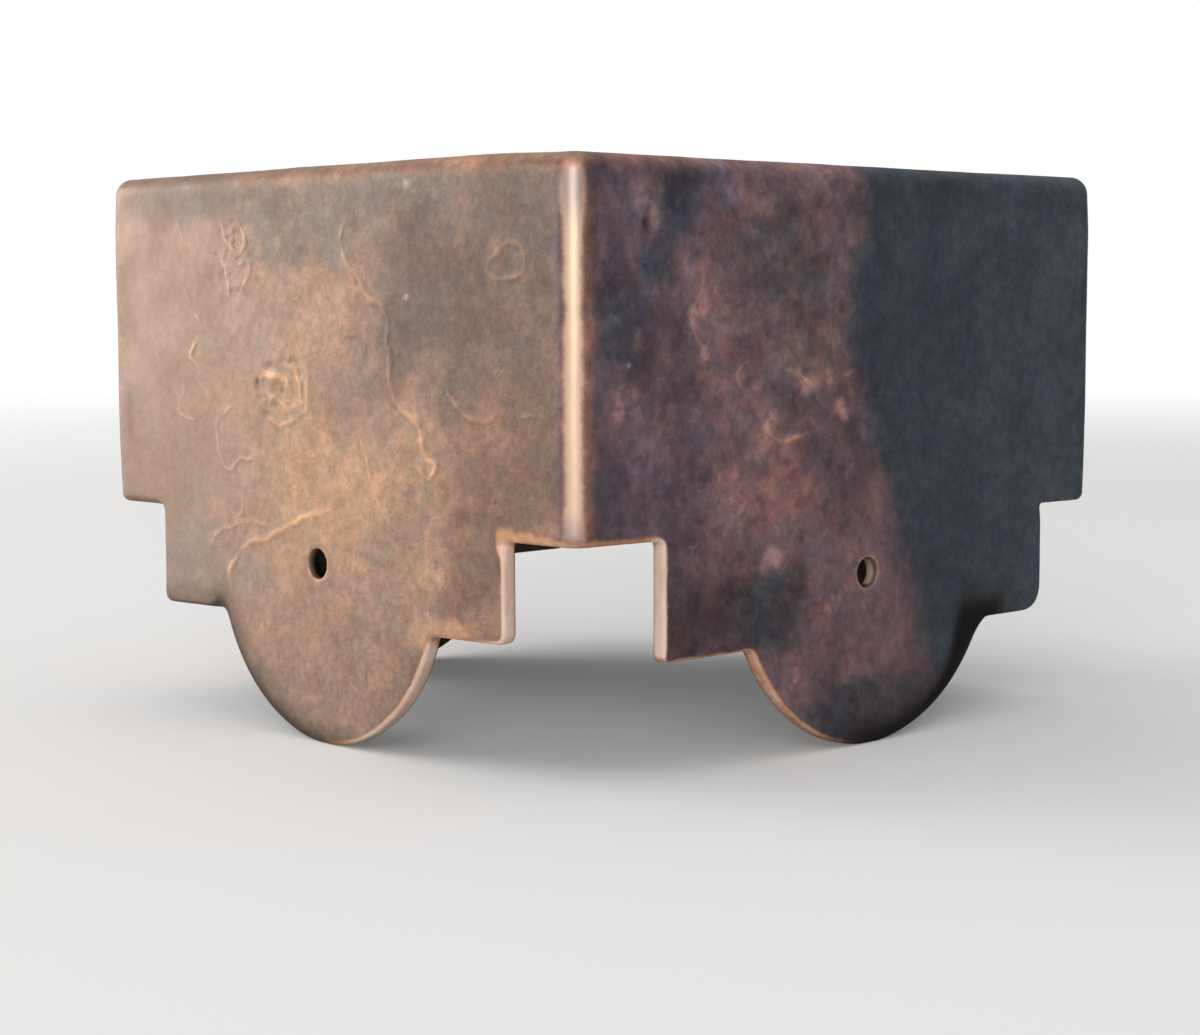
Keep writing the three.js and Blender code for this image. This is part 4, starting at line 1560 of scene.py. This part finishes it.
def patinated_bronze(groups):
    material, wiring, shader = new_material("patinated_bronze")
    position = wiring.add("ShaderNodeTexCoord").outputs["Object"]

    def carried(name, output="Fac"):
        return wiring.add("ShaderNodeAttribute", attribute_name=name).outputs[output]

    def tinted(colour, tint):
        return wiring.vector("MULTIPLY", colour, tint)

    patina, polish = carried("patina", "Color"), carried("polish")
    unpolished = wiring.minus(1.0, polish)
    mottled = place_group(wiring, groups["mottling"], {
        "Position": position, "Colour": patina, "Amount": wiring.times(carried("mottle"), unpolished),
        "Cloud size": 0.0075, "Blotch size": 0.0024, "Line size": 0.0055,
    })
    colour = mottled.outputs["Colour"]
    broken = wiring.ramp(mottled.outputs["Blotches"], 0.35, 0.6, 0.5, 1.0)
    vein_share = wiring.times(wiring.ramp(carried("vein"), 0.0, 0.8), broken)
    colour = wiring.blend(vein_share, colour, tinted(patina, VEIN_TINT))
    colour = wiring.blend(wiring.times(carried("pit"), 0.4), colour, tinted(patina, PIT_TINT))

    brow = place_group(wiring, groups["rubbed"], {
        "Position": position, "Share": carried("brow"), "Break size": 0.003, "Break": 0.5,
    }).outputs[0]
    colour = wiring.blend(brow, colour, tinted(colour, BROW_TINT))
    worn = place_group(wiring, groups["rubbed"], {
        "Position": position, "Share": carried("rubbed"), "Break size": 0.0016, "Break": 0.4,
    }).outputs[0]
    colour = wiring.blend(wiring.ramp(worn, 0.0, 0.55), colour, opaque(WORN_ORANGE))
    # Worn bare metal on the cut edges, its cream partly a painted highlight
    patchy = wiring.ramp(mottled.outputs["Blotches"], 0.38, 0.54, 0.7, 1.0)
    cream = wiring.times(wiring.ramp(worn, 0.55, 1.0), patchy)
    colour = wiring.blend(cream, colour, opaque(WORN_AND_LIT_CREAM))
    # Painted shade: the far lobe edges and the right lobe's far flank turn towards near black and fully
    # metallic, so that no sheen lifts them; the far hems and the hole bores are darkened the same way
    shade = carried("shade")
    colour = wiring.blend(wiring.times(shade, 0.9), colour, opaque(SHADE_BLACK))
    wiring.wire(shader.inputs["Base Color"], colour)

    dull = wiring.between(wiring.ramp(worn, 0.3, 0.95), 0.45, 0.0)
    metal = wiring.math("MAXIMUM", wiring.between(polish, dull, 0.55), shade)
    wiring.wire(shader.inputs["Metallic"], metal)
    satin = wiring.ramp(mottled.outputs["Cloud"], 0.3, 0.7, 0.5, 0.62)
    wiring.wire(shader.inputs["Roughness"], wiring.between(polish, satin, 0.37))
    grain = place_group(wiring, groups["grain"], {"Position": position, "Grain size": 0.0006}).outputs[0]
    raised = wiring.plus(
        wiring.times(mottled.outputs["Lines"], 0.3), wiring.times(mottled.outputs["Blotches"], 0.8),
    )
    bump = wiring.add("ShaderNodeBump", {
        "Height": wiring.times(wiring.plus(grain, raised), wiring.ramp(polish, 0.0, 1.0, 1.0, 0.2)),
        "Strength": 0.6, "Distance": 0.00007,
    })
    wiring.wire(shader.inputs["Normal"], bump.outputs[0])
    return material


def inner_bronze(groups):
    material, wiring, shader = new_material("inner_bronze")
    position = wiring.add("ShaderNodeTexCoord").outputs["Object"]
    mottled = place_group(wiring, groups["mottling"], {
        "Position": position, "Colour": opaque(INNER_BROWN), "Amount": 1.0,
        "Cloud size": 0.012, "Blotch size": 0.004, "Line size": 0.012,
    })
    wiring.wire(shader.inputs["Base Color"], mottled.outputs["Colour"])
    shader.inputs["Metallic"].default_value = 0.3
    wiring.wire(shader.inputs["Roughness"], wiring.ramp(mottled.outputs["Cloud"], 0.3, 0.7, 0.55, 0.75))
    grain = place_group(wiring, groups["grain"], {"Position": position, "Grain size": 0.001}).outputs[0]
    bump = wiring.add("ShaderNodeBump", {"Height": grain, "Strength": 0.8, "Distance": 0.00015})
    wiring.wire(shader.inputs["Normal"], bump.outputs[0])
    return material


def cast_cap():
    """The finished casting: the shell with its relief and materials, as one plain mesh."""
    groups = {"mottling": mottling_group(), "rubbed": rubbed_group(), "grain": grain_group()}
    mesh = cast_shell()
    paint(mesh)
    rough = placed("rough_cap", mesh)
    veins = vein_guide()
    pits = pit_guide()
    relief = rough.modifiers.new("cast_relief", "NODES")
    relief.node_group = relief_tree()
    set_inputs(relief, {
        "Veins": veins,
        "Pits": pits,
        "Wave height": 0.06 * MM,
        "Wave length": 24 * MM,
        "Ripple height": 0.015 * MM,
        "Ripple length": 4.5 * MM,
        "Wander": 0.05 * MM,
        "Wander length": 13 * MM,
        "Crumple height": 0.09 * MM,
        "Crumple length": 3.2 * MM,
        "Seed": RELIEF_SEED,
        "Outside": patinated_bronze(groups),
        "Inside": inner_bronze(groups),
    })
    depsgraph = bpy.context.evaluated_depsgraph_get()
    finished = bpy.data.meshes.new_from_object(rough.evaluated_get(depsgraph), depsgraph=depsgraph)
    finished.name = "post_cap_casting"
    cap = placed("post_cap_casting", finished)
    rough.modifiers.remove(relief)
    for helper in (rough, veins, pits):
        bpy.data.objects.remove(helper, do_unlink=True)
    return cap


# The camera, solved from the photo's edges, in mm and degrees
CAMERA_PLACE = (255.66, -236.50, 59.0)
CAMERA_YAW = 47.207
CAMERA_PITCH = 5.230
CAMERA_ROLL = -0.202
LENS = 71.17


def add_camera():
    data = bpy.data.cameras.new("camera")
    data.lens = LENS
    data.sensor_width = 36.0
    data.clip_start = 0.01
    camera = placed("camera", data)
    turned = (
        Matrix.Rotation(math.radians(CAMERA_YAW), 4, "Z")
        @ Matrix.Rotation(math.radians(90 - CAMERA_PITCH), 4, "X")
        @ Matrix.Rotation(math.radians(CAMERA_ROLL), 4, "Z")
    )
    camera.matrix_world = Matrix.Translation(Vector(CAMERA_PLACE) * MM) @ turned
    bpy.context.scene.camera = camera


# The floor's radius, and the distances from its middle where its fading starts and ends, in m
FLOOR_RADIUS = 2.5
FLOOR_POINTS = 96
FLOOR_FADE = (0.35, 1.3)

# The floor's grey where it lights the cap and where the camera sees it, and its glow for the camera
FLOOR_LIT = (0.45, 0.45, 0.45)
FLOOR_SEEN = (0.84, 0.84, 0.84)
FLOOR_GLOW = (0.12, 0.12, 0.12)
BLACK = (0, 0, 0)


def add_floor():
    """A plain pale disc that fades into the background, so that no horizon shows."""
    mesh = bpy.data.meshes.new("floor")
    turns = np.linspace(0, 2 * math.pi, FLOOR_POINTS, False)
    rim = [(FLOOR_RADIUS * math.cos(a), FLOOR_RADIUS * math.sin(a), 0) for a in turns]
    mesh.from_pydata(rim, [], [tuple(range(FLOOR_POINTS))])
    floor = placed("floor", mesh)
    material, wiring, shader = new_material("pale_floor")
    seen = wiring.add("ShaderNodeLightPath").outputs["Is Camera Ray"]
    wiring.wire(shader.inputs["Base Color"], wiring.blend(seen, opaque(FLOOR_LIT), opaque(FLOOR_SEEN)))
    wiring.wire(shader.inputs["Emission Color"], wiring.blend(seen, opaque(BLACK), opaque(FLOOR_GLOW)))
    shader.inputs["Emission Strength"].default_value = 1.0
    shader.inputs["Roughness"].default_value = 0.9
    shader.inputs["Specular IOR Level"].default_value = 0.1
    position = wiring.add("ShaderNodeTexCoord").outputs["Object"]
    distance = wiring.vector("LENGTH", position)
    fade = wiring.ramp(distance, *FLOOR_FADE)
    clear = wiring.add("ShaderNodeBsdfTransparent")
    below = wiring.times(wiring.add("ShaderNodeNewGeometry").outputs["Backfacing"], seen)
    mix = wiring.add("ShaderNodeMixShader", {
        0: wiring.math("MAXIMUM", fade, below), 1: shader.outputs[0], 2: clear.outputs[0],
    })
    output = next(node for node in material.node_tree.nodes if node.type == "OUTPUT_MATERIAL")
    wiring.wire(output.inputs["Surface"], mix.outputs[0])
    mesh.materials.append(material)


# Where the lights point, in m
LIGHTS_AIM = (0, 0, 0.04)


def soft_box(name, place, size, radiance, colour):
    """A square area light that faces the cap, as bright as a sheet of the given radiance."""
    data = bpy.data.lights.new(name, "AREA")
    data.shape = "SQUARE"
    data.size = size
    data.energy = radiance * math.pi * size ** 2
    data.color = colour
    aim = Vector(LIGHTS_AIM) - Vector(place)
    turned = aim.to_track_quat("-Z", "Y").to_matrix().to_4x4()
    placed(name, data).matrix_world = Matrix.Translation(place) @ turned


def add_lights():
    """A broad soft key from the left of the camera, and a pale sky that is dimmer on the far right."""
    soft_box("key", (-1.32, -0.70, 0.30), 0.9, 6.0, (1.0, 0.97, 0.93))
    soft_box("near_fill", (0.92, -1.18, 0.55), 0.78, 5.0, (1.0, 0.96, 0.92))
    world = bpy.data.worlds.new("pale_studio")
    bpy.context.scene.world = world
    world.use_nodes = True
    world.node_tree.nodes.clear()
    wiring = Wiring(world.node_tree)
    direction = wiring.add("ShaderNodeTexCoord").outputs["Generated"]
    lit_side = wiring.vector("DOT_PRODUCT", direction, (-0.75, -0.66, 0.0))
    height = wiring.add("ShaderNodeSeparateXYZ", {0: direction}).outputs["Z"]
    low_sky = wiring.ramp(lit_side, -1.0, 1.0, 0.16, 0.45, smooth=False)
    level = wiring.plus(low_sky, wiring.ramp(height, 0.3, 0.9, 0.0, 0.4))
    sky = wiring.add("ShaderNodeBackground", {"Color": (1, 1, 1, 1), "Strength": level})
    seen = wiring.add("ShaderNodeBackground", {"Color": (1, 1, 1, 1), "Strength": 1.0})
    mix = wiring.add("ShaderNodeMixShader", {
        0: wiring.add("ShaderNodeLightPath").outputs["Is Camera Ray"], 1: sky.outputs[0], 2: seen.outputs[0],
    })
    output = wiring.add("ShaderNodeOutputWorld")
    wiring.wire(output.inputs["Surface"], mix.outputs[0])


cap = cast_cap()
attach(cap, "root")
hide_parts("post_cap")
add_floor()
add_lights()
add_camera()
bpy.context.scene.view_settings.view_transform = "Standard"
